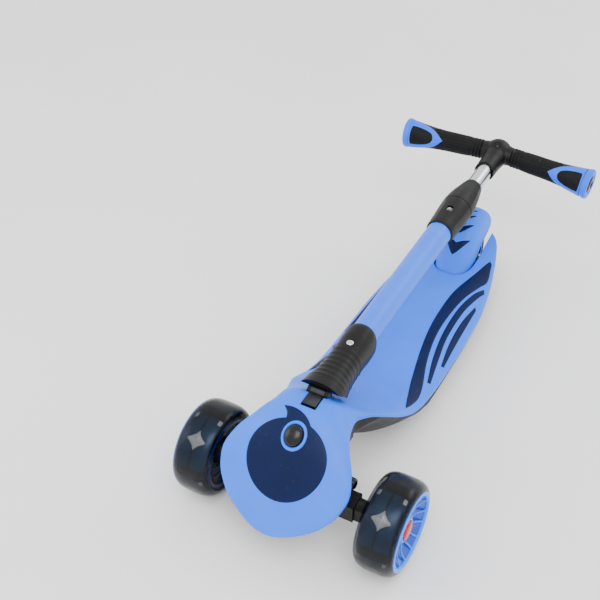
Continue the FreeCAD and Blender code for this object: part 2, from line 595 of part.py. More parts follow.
def make_rear_brake():
    width = "2 * Sizes.fender_half_width"
    base = [(482, 54), (476, 50), (456, 48.5)]
    nose = [(456, 48.5), (447, 50), (444.5, 56), (446, 62)]
    body = profile_pad("fender_solid", [side(FENDER_TOP), side(FENDER_LOW), side(base), side(nose)],
                       "YZ_Plane", width)
    wall = sheet.fender_wall
    inner_top = shifted(FENDER_TOP[2:-1], wall)
    inner_low = [(inner_top[-1][0], 40), (inner_top[0][0], 40)]
    hollow = profile_pad("fender_hollow", [side(inner_top), side(inner_low)], "YZ_Plane",
                         "2 * (Sizes.fender_half_width - Sizes.fender_wall)")
    axle = vec(-40, sheet.rear_axle_s, sheet.rear_radius)
    spring_room = cylinder("fender_spring_room", 6.0, 14.0,
                           vec(-19, sheet.brake_pivot_s, sheet.brake_pivot_z), X_AXIS)
    shell = cut("fender_shell", body, fuse("fender_rooms", [hollow, spring_room], refine=False))
    pin_hole = cylinder("fender_pin_hole", "Sizes.brake_pin_radius + Sizes.running_gap", 80.0,
                        vec(-40, sheet.brake_pivot_s, sheet.brake_pivot_z), X_AXIS)
    keep(cut("brake_fender", shell, pin_hole), "brake_fender")
    pin = cylinder("brake_pin_shank", "Sizes.brake_pin_radius", 78.0,
                   vec(-39, sheet.brake_pivot_s, sheet.brake_pivot_z), X_AXIS)
    keep(pin, "brake_pin")

    # Shoe that rubs on the tyre: a curved plate hung from the fender's roof by two webs.
    reach = cylinder("shoe_reach", "Sizes.shoe_radius", 80.0, axle, X_AXIS)
    plate_out = cylinder("shoe_plate_out", "Sizes.shoe_radius + 2", 32.0, axle + X_AXIS * 24, X_AXIS)
    sector = box("shoe_sector", (-16, 498, 70), (16, 546, 200))
    webs = [box("shoe_web_%d" % index, (x, 502, 70), (x + 3, 542, 200)) for index, x in enumerate((-12, 9))]
    hung = common("shoe_webs", [hollow, fuse("shoe_web_blocks", webs)])
    plate = common("shoe_plate", [plate_out, sector])
    keep(cut("brake_shoe", fuse("shoe_solid", [plate, hung]), reach), "brake_shoe")

    layer = band("chevron_layer", shifted(FENDER_TOP, -1.0), FENDER_TOP, BIG)
    chevrons = []
    for index, (tip, reach, arm) in enumerate(((461, 26, 12), (488, 18, 8), (508, 13, 6), (524, 9, 5))):
        half = 8.0 - 1.2 * index + 6.0
        line = [(0, AXLE_Y + tip), (half, AXLE_Y + tip + reach * 0.55), (half, AXLE_Y + tip + reach * 0.8),
                (0, AXLE_Y + tip + arm), (-half, AXLE_Y + tip + reach * 0.8),
                (-half, AXLE_Y + tip + reach * 0.55)]
        runs = [[a, b] for a, b in zip(line, line[1:] + line[:1])]
        plug = profile_pad("chevron_%d_plan" % index, runs, "XY_Plane", 200.0, midplane=False)
        low = box("chevron_%d_floor" % index, (-30, 430, 60), (30, 545, 160))
        chevrons.append(common("chevron_%d" % index, [plug, layer, low]))
    keep(group("brake_chevrons", chevrons), "brake_chevrons")
    spring = coil("brake_spring", 4.2, 0.6, 10.0, 5,
                  vec(-17, sheet.brake_pivot_s, sheet.brake_pivot_z), X_AXIS)
    keep(spring, "brake_spring")


# ---------------------------------------------------------------- stem
def make_stem():
    pivot_s = sheet.fold_pivot_s
    pivot_z = sheet.fold_pivot_z
    stem_z = sheet.stem_z
    half = sheet.tongue_half_width
    knuckle = cylinder("insert_knuckle", "Sizes.lug_radius", "2 * Sizes.tongue_half_width",
                       vec(-half, pivot_s, pivot_z), X_AXIS)
    tongue = box("insert_tongue", (-half, pivot_s - sheet.tongue_length, pivot_z - 4),
                 (half, pivot_s, pivot_z + 3))
    neck = box("insert_neck", (-half, pivot_s, pivot_z - 8), (half, 100, pivot_z + 5))
    plug = cylinder("insert_plug", "Sizes.tube_radius - Sizes.tube_wall", 56.0, vec(0, 96, stem_z), Y_AXIS)
    solid = fuse("insert_body", [knuckle, tongue, neck, plug])
    bore = cylinder("insert_bore", "Sizes.fold_pin_radius + Sizes.running_gap", 60.0,
                    vec(-30, pivot_s, pivot_z), X_AXIS)
    screw_bore = cylinder("insert_screw_bore", 1.8, 40.0, vec(0, 128, stem_z + 4))
    keep(cut("stem_insert", solid, fuse("insert_holes", [bore, screw_bore], refine=False)), "stem_insert")

    tube = sleeve("stem_tube_wall", "Sizes.tube_radius", "Sizes.tube_radius - Sizes.tube_wall",
                  "Sizes.tube_end_s - Sizes.tube_start_s", vec(0, sheet.tube_start_s, stem_z), Y_AXIS)
    tube_holes = [cylinder("tube_screw_bore", 1.8, 40.0, vec(0, 128, stem_z + 4)),
                  cylinder("tube_button_bore", 3.6, 40.0, vec(0, 431, stem_z + 4))]
    keep(cut("stem_tube", tube, fuse("tube_holes", tube_holes, refine=False)), "stem_tube")
    make_boot()

    screw = [(0, 0), (0, 1.8), (17, 1.8), (17, 4.2), (18.6, 3.6), (19.4, 2.2), (19.4, 0)]
    keep(turned("boot_screw", screw, vec(0, 128, sheet.stem_z + 4.2), Z_AXIS), "boot_screw")

    # Clamp sleeve: lower half round the outer tube, upper half tapering to the inner tube.
    outer = sheet.tube_radius
    inner = sheet.inner_radius + 0.3
    begin, seam, end = sheet.clamp_start_s, sheet.clamp_seam_s, sheet.clamp_end_s
    stop = sheet.tube_end_s - begin
    span = seam - begin
    lower = [(0, outer), (0, 19.2), (1.5, 19.8), (20, 20.9), (42, 22.2), (span - 2, 22.6), (span - 0.5, 21.8),
             (span - 0.5, inner), (stop, inner), (stop, outer)]
    sleeve_low = turned("clamp_lower_body", lower, vec(0, begin, stem_z), Y_AXIS)
    window = box("clamp_window", (-4.2, 424, stem_z + 17), (4.2, 438, stem_z + 30))
    keep(cut("clamp_lower", sleeve_low, window), "clamp_lower")
    rise = end - seam
    upper = [(0, inner), (0, 21.8), (1.5, 22.6), (14, 22.2), (34, 19.6), (50, 16.4), (rise - 3, 14.6),
             (rise, 13.2), (rise, inner)]
    keep(turned("clamp_upper", upper, vec(0, seam, stem_z), Y_AXIS), "clamp_upper")
    bush = sleeve("tube_bush_wall", sheet.tube_radius - sheet.tube_wall, "Sizes.inner_radius + 0.1", 22.0,
                  vec(0, 400, stem_z), Y_AXIS)
    keep(bush, "tube_bush")

    cap = [(0, 0), (0, 2.4), (1.2, 3.3), (5.4, 3.3), (6.4, 2.4), (6.4, 0)]
    keep(turned("height_button", cap, vec(0, 431, stem_z + 15.9), Z_AXIS), "height_button")


def make_boot():
    """Moulded boot: an upright oval that flares to an oblique front rim over the hinge."""
    stations = [(44, 26.8, 163.2, 27.4), (66, 25.4, 162.5, 26.2), (95, 22.6, 163.0, 24.5),
                (128, 21.0, 164.0, 25.0), (150, 20.8, 164.0, 26.0), (160, 20.2, 164.3, 25.0),
                (163, 18.4, 164.8, 23.0)]
    body = doc.addObject("PartDesign::Body", "boot_blank")
    sections = []
    for index, (s, half_width, centre_z, half_height) in enumerate(stations):
        sketch = new_sketch(body, "boot_section_%d" % index, "XZ_Plane", -(AXLE_Y + s))
        centre = FreeCAD.Vector(0, centre_z, 0)
        tip = centre + FreeCAD.Vector(0, half_height, 0)
        across = centre - FreeCAD.Vector(half_width, 0, 0)
        sketch.addGeometry(Part.Ellipse(tip, across, centre), False)
        sections.append(sketch)
    loft = body.newObject("PartDesign::AdditiveLoft", "boot_loft")
    loft.Profile = sections[0]
    loft.Sections = sections[1:]
    # Oblique front end that follows the back of the hood.
    front = [(48, 200), (50, 181), (60, 170), (96, 131), (96, 100), (20, 100), (20, 200)]
    edges = [side(pair) for pair in zip(front, front[1:] + front[:1])]
    wedge = profile_pad("boot_front_cut", edges, "YZ_Plane", 100.0)
    hollow = box("boot_cavity", (-14.2, 30, 130), (14.2, 95, 182.2))
    tube_bore = cylinder("boot_bore", "Sizes.tube_radius", 100.0, vec(0, 92, sheet.stem_z), Y_AXIS)
    screw_bore = cylinder("boot_screw_bore", 1.8, 60.0, vec(0, 128, sheet.stem_z + 4))
    head_bore = cylinder("boot_head_bore", 4.3, 20.0, vec(0, 128, sheet.stem_z + 21.2))
    tools = fuse("boot_tools", [wedge, hollow, tube_bore, screw_bore, head_bore], refine=False)
    keep(cut("boot", body, tools), "boot")


# ---------------------------------------------------------------- handlebar
def bar_direction(sign):
    sweep = math.radians(sheet.bar_sweep)
    droop = math.radians(sheet.bar_droop)
    return FreeCAD.Vector(sign, -math.tan(sweep), -math.tan(droop)).normalize()


def bar_point(sign, distance):
    return vec(0, sheet.hub_s, sheet.hub_z) + bar_direction(sign) * distance


def make_handlebar():
    stem_z = sheet.stem_z
    tube = sleeve("inner_tube_wall", "Sizes.inner_radius", "Sizes.inner_radius - Sizes.inner_wall",
                  "Sizes.hub_s - 14 - Sizes.inner_start_s", vec(0, sheet.inner_start_s, stem_z), Y_AXIS)
    steps = [cylinder("height_hole_%d" % index, 3.4, 30.0, vec(0, 231 + 50 * index, stem_z))
             for index in range(5)]
    keep(cut("inner_tube", tube, fuse("height_holes", steps, refine=False)), "inner_tube")

    hub_centre = vec(0, sheet.hub_s, sheet.hub_z)
    ball = doc.addObject("Part::Sphere", "hub_ball")
    ball.Radius = 20.5
    ball.Placement = FreeCAD.Placement(hub_centre, FreeCAD.Rotation())
    collar = turned("hub_collar", [(0, 0), (0, 13.6), (2, 14.6), (22, 15.4), (40, 18.5), (56, 18.5), (56, 0)],
                    vec(0, sheet.collar_start_s, stem_z), Y_AXIS)
    arms = [turned("hub_arm_%d" % (sign + 1), [(0, 0), (0, 18.5), (14, 17.2), (23.5, 14.5), (23.5, 0)],
                   bar_point(sign, 0), bar_direction(sign)) for sign in (1, -1)]
    solid = fuse("hub_solid", [ball, collar] + arms)
    holes = [cylinder("hub_bar_bore_%d" % (sign + 1), "Sizes.bar_radius", 60.0, bar_point(sign, 0),
                      bar_direction(sign)) for sign in (1, -1)]
    knee = doc.addObject("Part::Sphere", "hub_bore_knee")
    knee.setExpression("Radius", "Sizes.bar_radius")
    knee.Placement = FreeCAD.Placement(hub_centre, FreeCAD.Rotation())
    holes.append(knee)
    holes.append(cylinder("hub_tube_bore", "Sizes.inner_radius", 50.0,
                          vec(0, sheet.collar_start_s - 6, stem_z), Y_AXIS))
    holes.append(cylinder("hub_dimple", 4.5, 6.0, hub_centre + FreeCAD.Vector(0, 0, 18)))
    keep(cut("handlebar_hub", solid, fuse("hub_holes", holes, refine=False)), "handlebar_hub")

    bars = [cylinder("bar_side_%d" % (sign + 1), "Sizes.bar_radius", "Sizes.bar_half", bar_point(sign, 0),
                     bar_direction(sign)) for sign in (1, -1)]
    elbow = doc.addObject("Part::Sphere", "bar_elbow")
    elbow.setExpression("Radius", "Sizes.bar_radius")
    elbow.Placement = FreeCAD.Placement(hub_centre, FreeCAD.Rotation())
    bar = fuse("bar_solid", bars + [elbow], refine=False)
    hollows = [cylinder("bar_hollow_%d" % (sign + 1), "Sizes.bar_radius - Sizes.bar_wall", 150.0,
                        bar_point(sign, 0), bar_direction(sign)) for sign in (1, -1)]
    saddle = cylinder("bar_saddle", "Sizes.inner_radius", 30.0, vec(0, sheet.hub_s - 42, stem_z), Y_AXIS)
    keep(cut("handlebar_tube", bar, fuse("bar_holes", [saddle] + hollows, refine=False)), "handlebar_tube")
    insets = [make_grip(hand, sign) for hand, sign in (("left", 1), ("right", -1))]
    keep(group("grip_insets", insets), "grip_insets")
    plugs = [turned("end_plug_%s" % hand,
                    [(0, 0), (0, 9.4), (18.5, 9.4), (18.5, 8.0), (29.5, 8.0), (29.5, sheet.plug_bore),
                     (29.5 - sheet.plug_depth, sheet.plug_bore), (29.5 - sheet.plug_depth, 0)],
                    bar_point(sign, 118.5), bar_direction(sign)) for hand, sign in (("left", 1), ("right", -1))]
    keep(group("end_plugs", plugs), "end_plugs")


def make_grip(hand, sign):
    """Ringed rubber grip, then a light sleeve that flares into the end cap."""
    bore = sheet.bar_radius
    radius = sheet.grip_radius
    line = [(0, bore), (0, radius - 1)]
    for ring in range(3):
        line += [(1 + 4 * ring, radius), (3.4 + 4 * ring, radius), (4 + 4 * ring, radius - 1)]
    length = sheet.sleeve_start - sheet.grip_start - 0.2
    line += [(15, radius + 0.2), (length * 0.6, radius + 0.2), (length, radius - 0.3), (length, bore)]
    keep(turned("grip_" + hand, line, bar_point(sign, sheet.grip_start), bar_direction(sign)), "grip_" + hand)

    span = sheet.cap_start - sheet.sleeve_start
    cone = [(0, bore), (0, 15.2), (10, 15.6), (24, 16.8), (span, 19.0), (span, bore)]
    wrap = turned("sleeve_%s_body" % hand, cone, bar_point(sign, sheet.sleeve_start), bar_direction(sign))
    recess = cylinder("sleeve_%s_recess" % hand, 9.0, 12.0,
                      bar_point(sign, sheet.sleeve_start + 20) + FreeCAD.Vector(0, -2, 13.2), Z_AXIS)
    keep(cut("grip_sleeve_" + hand, wrap, recess), "grip_sleeve_" + hand)
    inset_disc = cylinder("inset_%s_disc" % hand, 8.8, 12.0,
                          bar_point(sign, sheet.sleeve_start + 20) + FreeCAD.Vector(0, -2, 13.4), Z_AXIS)
    cone_out = [(0, 0), (0, 15.2), (10, 15.6), (24, 16.8), (span, 19.0), (span, 0)]
    solid = turned("inset_%s_cone" % hand, cone_out, bar_point(sign, sheet.sleeve_start), bar_direction(sign))
    inset = common("grip_inset_" + hand, [inset_disc, solid])

    cap = sheet.cap_radius
    thick = sheet.cap_thickness
    line = [(0, 11.0), (0, 19), (3, cap - 1.4), (5, cap), (7.5, cap), (thick - 0.6, cap - 1.6), (thick, cap - 4),
            (thick, 8.1), (1.2, 8.1), (1.2, 11.0)]
    keep(turned("end_cap_" + hand, line, bar_point(sign, sheet.cap_start), bar_direction(sign)),
         "end_cap_" + hand)
    return inset


make_deck_shell()
make_under_tray()
make_deck_pads()
make_hood_panel()
make_fold_button()
make_front_frame()
make_truck()
make_front_wheel("left", 1)
make_front_wheel("right", -1)
make_rear_wheel()
make_rear_brake()
make_stem()
make_handlebar()
doc.recompute()

for item in doc.Objects:
    if "Invalid" in item.State or "Error" in item.State:
        raise RuntimeError("feature %s failed: %s" % (item.Name, item.State))
for part in parts:
    if part.Shape.isNull() or not part.Shape.isValid():
        raise RuntimeError("sub-part %s has no valid shape" % part.Label)

os.makedirs("parts", exist_ok=True)
for part in parts:
    part.Shape.exportStep("parts/%s.step" % part.Label)
print(len(parts), "sub-parts")
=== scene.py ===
import math
import bmesh
import bpy
import numpy as np
from mathutils import Matrix, Vector


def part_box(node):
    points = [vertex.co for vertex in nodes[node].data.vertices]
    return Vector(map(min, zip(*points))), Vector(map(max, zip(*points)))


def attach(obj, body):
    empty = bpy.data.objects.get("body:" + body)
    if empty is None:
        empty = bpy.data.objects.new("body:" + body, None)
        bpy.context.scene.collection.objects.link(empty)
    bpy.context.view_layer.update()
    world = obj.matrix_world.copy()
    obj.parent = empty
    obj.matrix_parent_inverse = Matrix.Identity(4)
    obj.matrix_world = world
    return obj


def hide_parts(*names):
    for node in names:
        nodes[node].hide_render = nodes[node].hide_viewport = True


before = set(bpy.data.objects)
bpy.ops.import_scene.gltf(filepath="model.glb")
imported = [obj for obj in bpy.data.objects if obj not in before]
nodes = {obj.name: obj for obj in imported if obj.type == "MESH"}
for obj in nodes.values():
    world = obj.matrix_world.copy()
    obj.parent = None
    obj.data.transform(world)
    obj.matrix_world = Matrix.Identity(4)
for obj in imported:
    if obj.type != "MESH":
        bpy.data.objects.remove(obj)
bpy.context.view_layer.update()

# Lengths below are millimetres, given as (x, s, z): s is the distance behind the front axle, z the height.
MM = 0.001
low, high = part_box("tyre_left")
AXLE_Y = (low.y + high.y) / 2
TRACK = (low.x + high.x) / 2 / MM
WHEEL_R = (high.z + low.z) / 2 / MM
WHEEL_HALF = (high.x - low.x) / 2 / MM
low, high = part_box("rear_tyre")
REAR_S = ((low.y + high.y) / 2 - AXLE_Y) / MM
REAR_R = (high.z + low.z) / 2 / MM
REAR_HALF = (high.x - low.x) / 2 / MM
low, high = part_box("stem_tube")
STEM_Z = (low.z + high.z) / 2 / MM
TUBE_R = (high.x - low.x) / 2 / MM


# Cutters carry this material only until they are used.
PLAIN = bpy.data.materials.new("cutter")


def at(x, s, z):
    return Vector((x * MM, AXLE_Y + s * MM, z * MM))


# ------------------------------------------------------------------ curves
def smooth(points):
    """Shape-preserving cubic through (input, output) points."""
    xs = np.array([p[0] for p in points], float)
    ys = np.array([p[1] for p in points], float)
    step = np.diff(xs)
    slope = np.diff(ys) / step
    tangent = np.zeros(len(xs))
    for i in range(1, len(xs) - 1):
        if slope[i - 1] * slope[i] > 0:
            w1 = 2 * step[i] + step[i - 1]
            w2 = step[i] + 2 * step[i - 1]
            tangent[i] = (w1 + w2) / (w1 / slope[i - 1] + w2 / slope[i])
    tangent[0], tangent[-1] = slope[0], slope[-1]

    def value(x):
        x = min(max(x, xs[0]), xs[-1])
        i = min(int(np.searchsorted(xs, x, side="right")) - 1, len(xs) - 2)
        t = (x - xs[i]) / step[i]
        a = (1 + 2 * t) * (1 - t) ** 2
        b = t * (1 - t) ** 2
        c = t * t * (3 - 2 * t)
        d = t * t * (t - 1)
        return float(a * ys[i] + b * step[i] * tangent[i] + c * ys[i + 1] + d * step[i] * tangent[i + 1])
    return value


def path(points, count):
    """Evenly spaced points on a Catmull-Rom curve through the points."""
    pts = [np.array(p, float) for p in points]
    pts = [2 * pts[0] - pts[1]] + pts + [2 * pts[-1] - pts[-2]]
    dense = []
    for a, b, c, d in zip(pts, pts[1:], pts[2:], pts[3:]):
        for t in np.linspace(0, 1, 24, endpoint=False):
            dense.append(0.5 * (2 * b + (c - a) * t + (2 * a - 5 * b + 4 * c - d) * t * t
                                + (3 * b - a - 3 * c + d) * t ** 3))
    dense.append(pts[-2])
    dense = np.array(dense)
    run = np.concatenate([[0], np.cumsum(np.linalg.norm(np.diff(dense, axis=0), axis=1))])
    wanted = np.linspace(0, run[-1], count)
    return np.stack([np.interp(wanted, run, dense[:, k]) for k in range(dense.shape[1])], 1)


# ------------------------------------------------------------------ meshes
def new_mesh(name, verts, faces, material):
    """Smooth-shaded object with its doubled points merged and its normals pointing outwards."""
    mesh = bpy.data.meshes.new(name)
    mesh.from_pydata([tuple(v) for v in verts], [], [tuple(f) for f in faces])
    form = bmesh.new()
    form.from_mesh(mesh)
    bmesh.ops.remove_doubles(form, verts=form.verts, dist=1e-6)
    bmesh.ops.dissolve_degenerate(form, edges=form.edges, dist=1e-7)
    bmesh.ops.recalc_face_normals(form, faces=form.faces)
    form.to_mesh(mesh)
    form.free()
    mesh.shade_smooth()
    mesh.materials.append(material)
    piece = bpy.data.objects.new(name, mesh)
    bpy.context.scene.collection.objects.link(piece)
    return piece


def grid_faces(rows, columns, close_rows=False, close_columns=False, start=0):
    """Quads between neighbouring points of a grid whose first point has the index start."""
    faces = []
    for i in range(rows if close_rows else rows - 1):
        for j in range(columns if close_columns else columns - 1):
            a = i * columns + j
            b = i * columns + (j + 1) % columns
            c = ((i + 1) % rows) * columns + (j + 1) % columns
            d = ((i + 1) % rows) * columns + j
            faces.append(tuple(start + k for k in (a, b, c, d)))
    return faces


def slab(name, top_rows, low_rows, material):
    """Closed solid between two grids of equally many points."""
    rows, columns = len(top_rows), len(top_rows[0])
    verts = [p for row in top_rows for p in row] + [p for row in low_rows for p in row]
    base = rows * columns
    last = columns - 1
    faces = grid_faces(rows, columns) + [f[::-1] for f in grid_faces(rows, columns, start=base)]
    for i in range(rows - 1):
        a, b = i * columns, (i + 1) * columns
        faces.append((a, base + a, base + b, b))
        faces.append((a + last, b + last, base + b + last, base + a + last))
    for start in (0, (rows - 1) * columns):
        for j in range(last):
            faces.append((start + j, start + j + 1, base + start + j + 1, base + start + j))
    return new_mesh(name, verts, faces, material)


def apply_modifiers(piece):
    graph = bpy.context.evaluated_depsgraph_get()
    mesh = bpy.data.meshes.new_from_object(piece.evaluated_get(graph))
    piece.modifiers.clear()
    piece.data = mesh
    return piece


def soften(piece, width, segments, angle):
    """Rounds the edges that are sharper than angle degrees."""
    change = piece.modifiers.new("edge", "BEVEL")
    change.width = width * MM
    change.segments = segments
    change.limit_method = "ANGLE"
    change.angle_limit = math.radians(angle)


def carve(piece, cutters):
    """Cuts the cutters out of the piece and removes them."""
    for cutter in cutters:
        cutter.data.materials[0] = piece.data.materials[0]
        change = piece.modifiers.new("cut", "BOOLEAN")
        change.object = cutter
        change.operation = "DIFFERENCE"
        change.solver = "EXACT"
        change.use_self = True
    apply_modifiers(piece)
    for cutter in cutters:
        bpy.data.objects.remove(cutter)


def finish_piece(piece, body, replaced=(), crease_angle=34):
    """Freezes the modifiers, sets the shading and hands the piece to its CAD body."""
    if piece.modifiers:
        apply_modifiers(piece)
    piece.data.shade_smooth()
    if crease_angle:
        piece.data.set_sharp_from_angle(angle=math.radians(crease_angle))
    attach(piece, body)
    if replaced:
        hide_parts(*replaced)
    return piece


def axis_frame(axis):
    """Matrix whose X axis lies along axis."""
    x = Vector(axis).normalized()
    y = Vector((0, 0, 1)).cross(x)
    if y.length < 1e-6:
        y = Vector((0, 1, 0))
    y.normalize()
    z = x.cross(y)
    return Matrix((x, y, z)).transposed()


def round_point(centre, turn, along, radius, angle):
    """Point at a distance along an axis, a radius from it and an angle round it."""
    return centre + turn @ Vector((along, radius * math.cos(angle), radius * math.sin(angle))) * MM


def full_turn(count):
    return np.linspace(0, 2 * math.pi, count, endpoint=False)


def lathe(name, profile, centre, axis, material, segments=96):
    """Turns (along, radius) points round an axis. A profile that leaves the axis open is closed on itself."""
    turn = axis_frame(axis)
    verts = [round_point(centre, turn, along, radius, angle) for angle in full_turn(segments)
             for along, radius in profile]
    closed = profile[0][1] > 1e-6 or profile[-1][1] > 1e-6
    faces = grid_faces(segments, len(profile), close_rows=True, close_columns=closed)
    return new_mesh(name, verts, faces, material)


def loft(name, rings, material):
    """Skin over rings of equally many points, with each end closed by a fan."""
    count = len(rings[0])
    verts = [point for ring in rings for point in ring]
    faces = grid_faces(len(rings), count, close_columns=True)
    for ring, base in ((rings[0], 0), (rings[-1], count * (len(rings) - 1))):
        verts.append(sum((Vector(p) for p in ring), Vector()) / count)
        hub = len(verts) - 1
        faces += [(hub, base + i, base + (i + 1) % count) for i in range(count)]
    return new_mesh(name, verts, faces, material)


def block(name, lowest, highest):
    """Box-shaped cutter."""
    verts = [at(x, s, z) for x in (lowest[0], highest[0]) for s in (lowest[1], highest[1])
             for z in (lowest[2], highest[2])]
    faces = [(0, 1, 3, 2), (4, 6, 7, 5), (0, 4, 5, 1), (2, 3, 7, 6), (0, 2, 6, 4), (1, 5, 7, 3)]
    return new_mesh(name, verts, faces, PLAIN)


def prism(name, half_outline, low_z, high_z):
    """Upright cutter: a plan outline given for one side as (x, s), mirrored in x."""
    loop = half_outline + [(-x, s) for x, s in reversed(half_outline)]
    return loft(name, [[at(x, s, z) for x, s in loop] for z in (low_z, high_z)], PLAIN)


# ------------------------------------------------------------------ materials
def linear(rgb):
    """Display colour 0-255 to linear."""
    out = []
    for c in rgb:
        c /= 255
        out.append(c / 12.92 if c <= 0.04045 else ((c + 0.055) / 1.055) ** 2.4)
    return (*out, 1.0)


class Finish:
    """Builds one procedural material step by step round a Principled shader."""

    def __init__(self, name, metallic=0.0, coat=0.0, coat_roughness=0.1, specular=0.5):
        self.material = bpy.data.materials.new(name)
        self.material.use_nodes = True
        self.tree = self.material.node_tree
        self.shader = self.tree.nodes["Principled BSDF"]
        self.shader.inputs["Metallic"].default_value = metallic
        self.shader.inputs["Coat Weight"].default_value = coat
        self.shader.inputs["Coat Roughness"].default_value = coat_roughness
        self.shader.inputs["Specular IOR Level"].default_value = specular
        self.place = self.tree.nodes.new("ShaderNodeTexCoord").outputs["Object"]
        self.normal = None

    def add(self, kind, **values):
        node = self.tree.nodes.new(kind)
        for key, value in values.items():
            if hasattr(node, key):
                setattr(node, key, value)
            else:
                node.inputs[key].default_value = value
        return node

    def link(self, output, node, socket):
        self.tree.links.new(output, node.inputs[socket])

    def stretched(self, scale):
        node = self.add("ShaderNodeMapping")
        node.inputs["Scale"].default_value = scale
        self.link(self.place, node, "Vector")
        return node.outputs["Vector"]

    def noise(self, scale, detail=3.0, roughness=0.55, stretch=None, seed=0.0):
        node = self.add("ShaderNodeTexNoise", noise_dimensions="4D")
        node.inputs["Scale"].default_value = scale
        node.inputs["Detail"].default_value = detail
        node.inputs["Roughness"].default_value = roughness
        node.inputs["W"].default_value = seed
        self.link(self.stretched(stretch) if stretch else self.place, node, "Vector")
        return node.outputs["Fac"]

    def remap(self, value, low, high, to_low, to_high):
        node = self.add("ShaderNodeMapRange")
        self.link(value, node, "Value")
        sockets = ("From Min", "From Max", "To Min", "To Max")
        for socket, number in zip(sockets, (low, high, to_low, to_high)):
            node.inputs[socket].default_value = number
        return node.outputs["Result"]

    def ramp(self, value, stops):
        node = self.add("ShaderNodeValToRGB")
        self.link(value, node, "Fac")
        for point, (place, colour) in zip(node.color_ramp.elements, stops):
            point.position = place
            point.color = linear(colour)
        return node.outputs["Color"]

    def mix(self, factor, first, second):
        node = self.add("ShaderNodeMix", data_type="RGBA")
        self.link(factor, node, "Factor")
        for socket, value in ((6, first), (7, second)):
            if isinstance(value, tuple):
                node.inputs[socket].default_value = linear(value)
            else:
                self.tree.links.new(value, node.inputs[socket])
        return node.outputs[2]

    def colour(self, value):
        self.link(value, self.shader, "Base Color")

    def roughness(self, value):
        self.link(value, self.shader, "Roughness")

    def bump(self, height, depth):
        """Adds relief; depth is in millimetres."""
        node = self.add("ShaderNodeBump")
        node.inputs["Distance"].default_value = depth * MM
        self.link(height, node, "Height")
        if self.normal:
            self.link(self.normal, node, "Normal")
        self.normal = node.outputs["Normal"]

    def done(self):
        if self.normal:
            self.link(self.normal, self.shader, "Normal")
        return self.material


def moulded(name, dark, light, rough, grain=0.02, grain_scale=1500, dust=0.10, coat=0.0, specular=0.5,
            dust_colour=(205, 208, 212), seed=0.0, ribs=0):
    """Moulded plastic: slow colour drift, fine spark texture, handling dust and hairline scratches."""
    finish = Finish(name, coat=coat, coat_roughness=0.08, specular=specular)
    drift = finish.noise(16, detail=4, seed=seed)
    colour = finish.ramp(drift, [(0.3, dark), (0.7, light)])
    speck = finish.noise(1800, detail=2, seed=seed + 1)
    colour = finish.mix(finish.remap(speck, 0.60, 0.80, 0, dust), colour, dust_colour)
    scratch = finish.noise(260, detail=2, stretch=(1.0, 0.06, 1.0), seed=seed + 2)
    marks = finish.remap(scratch, 0.66, 0.72, 0, dust * 1.2)
    finish.colour(finish.mix(marks, colour, dust_colour))
    haze = finish.noise(38, detail=5, roughness=0.65, seed=seed + 3)
    finish.roughness(finish.remap(haze, 0.25, 0.75, rough[0], rough[1]))
    finish.bump(finish.noise(grain_scale, detail=2, seed=seed + 4), grain)
    finish.bump(scratch, 0.015)
    finish.bump(finish.noise(30, detail=2, seed=seed + 5), 0.10)
    if ribs:
        lines = finish.add("ShaderNodeTexWave", bands_direction="Y")
        lines.inputs["Scale"].default_value = ribs
        finish.link(finish.place, lines, "Vector")
        finish.bump(lines.outputs["Fac"], 0.02)
    return finish.done()


def metal(name, dark, light, rough, brush=(1.0, 0.04, 1.0), brush_scale=900, seed=0.0):
    """Metal with brushed or ground marks, cloudy tarnish and small pits."""
    finish = Finish(name, metallic=1.0)
    cloud = finish.noise(45, detail=5, roughness=0.6, seed=seed)
    colour = finish.ramp(cloud, [(0.3, dark), (0.7, light)])
    lines = finish.noise(brush_scale, detail=2, stretch=brush, seed=seed + 1)
    finish.colour(finish.mix(finish.remap(lines, 0.3, 0.8, 0, 0.28), colour, dark))
    finish.roughness(finish.remap(lines, 0.3, 0.7, rough[0], rough[1]))
    finish.bump(lines, 0.006)
    pits = finish.noise(700, detail=1, seed=seed + 2)
    finish.bump(finish.remap(pits, 0.68, 0.75, 0, 1), -0.01)
    return finish.done()


LIGHT_BLUE = moulded("light_blue_shell", (34, 110, 248), (42, 120, 254), (0.38, 0.50), grain=0.012, dust=0.03,
                     specular=0.22, ribs=95)
TUBE_BLUE = moulded("tube_blue_satin", (34, 108, 246), (42, 118, 252), (0.36, 0.48), grain=0.006, dust=0.02,
                    specular=0.35, seed=2.0)
NAVY = moulded("navy_panel", (2, 17, 54), (4, 23, 66), (0.34, 0.48), dust=0.02, specular=0.16, seed=3.0)
PAD = moulded("navy_pad", (2, 18, 56), (5, 24, 68), (0.46, 0.60), grain=0.05, grain_scale=900, dust=0.03,
              specular=0.14, seed=4.0)
BLACK = moulded("black_plastic", (5, 5, 6), (10, 10, 11), (0.38, 0.55), grain=0.03, grain_scale=1300,
                dust=0.02, specular=0.24, seed=5.0)
UNDER_BLACK = moulded("black_under_shell", (5, 5, 6), (9, 9, 10), (0.44, 0.60), grain=0.05,
                      grain_scale=1100, dust=0.03, specular=0.2, seed=6.0)
GLOSS_BLACK = moulded("black_button", (5, 5, 6), (9, 9, 10), (0.20, 0.32), grain=0.006, dust=0.02,
                      specular=0.35, seed=7.0)
RUBBER = moulded("black_rubber_grip", (6, 6, 7), (12, 12, 13), (0.55, 0.75), grain=0.05, grain_scale=1700,
                 dust=0.03, specular=0.2, seed=8.0)
TYRE_BLACK = moulded("rear_tyre_black", (6, 6, 7), (12, 12, 13), (0.45, 0.68), grain=0.04,
                     grain_scale=1200, dust=0.08, dust_colour=(90, 88, 84), specular=0.25, seed=9.0)
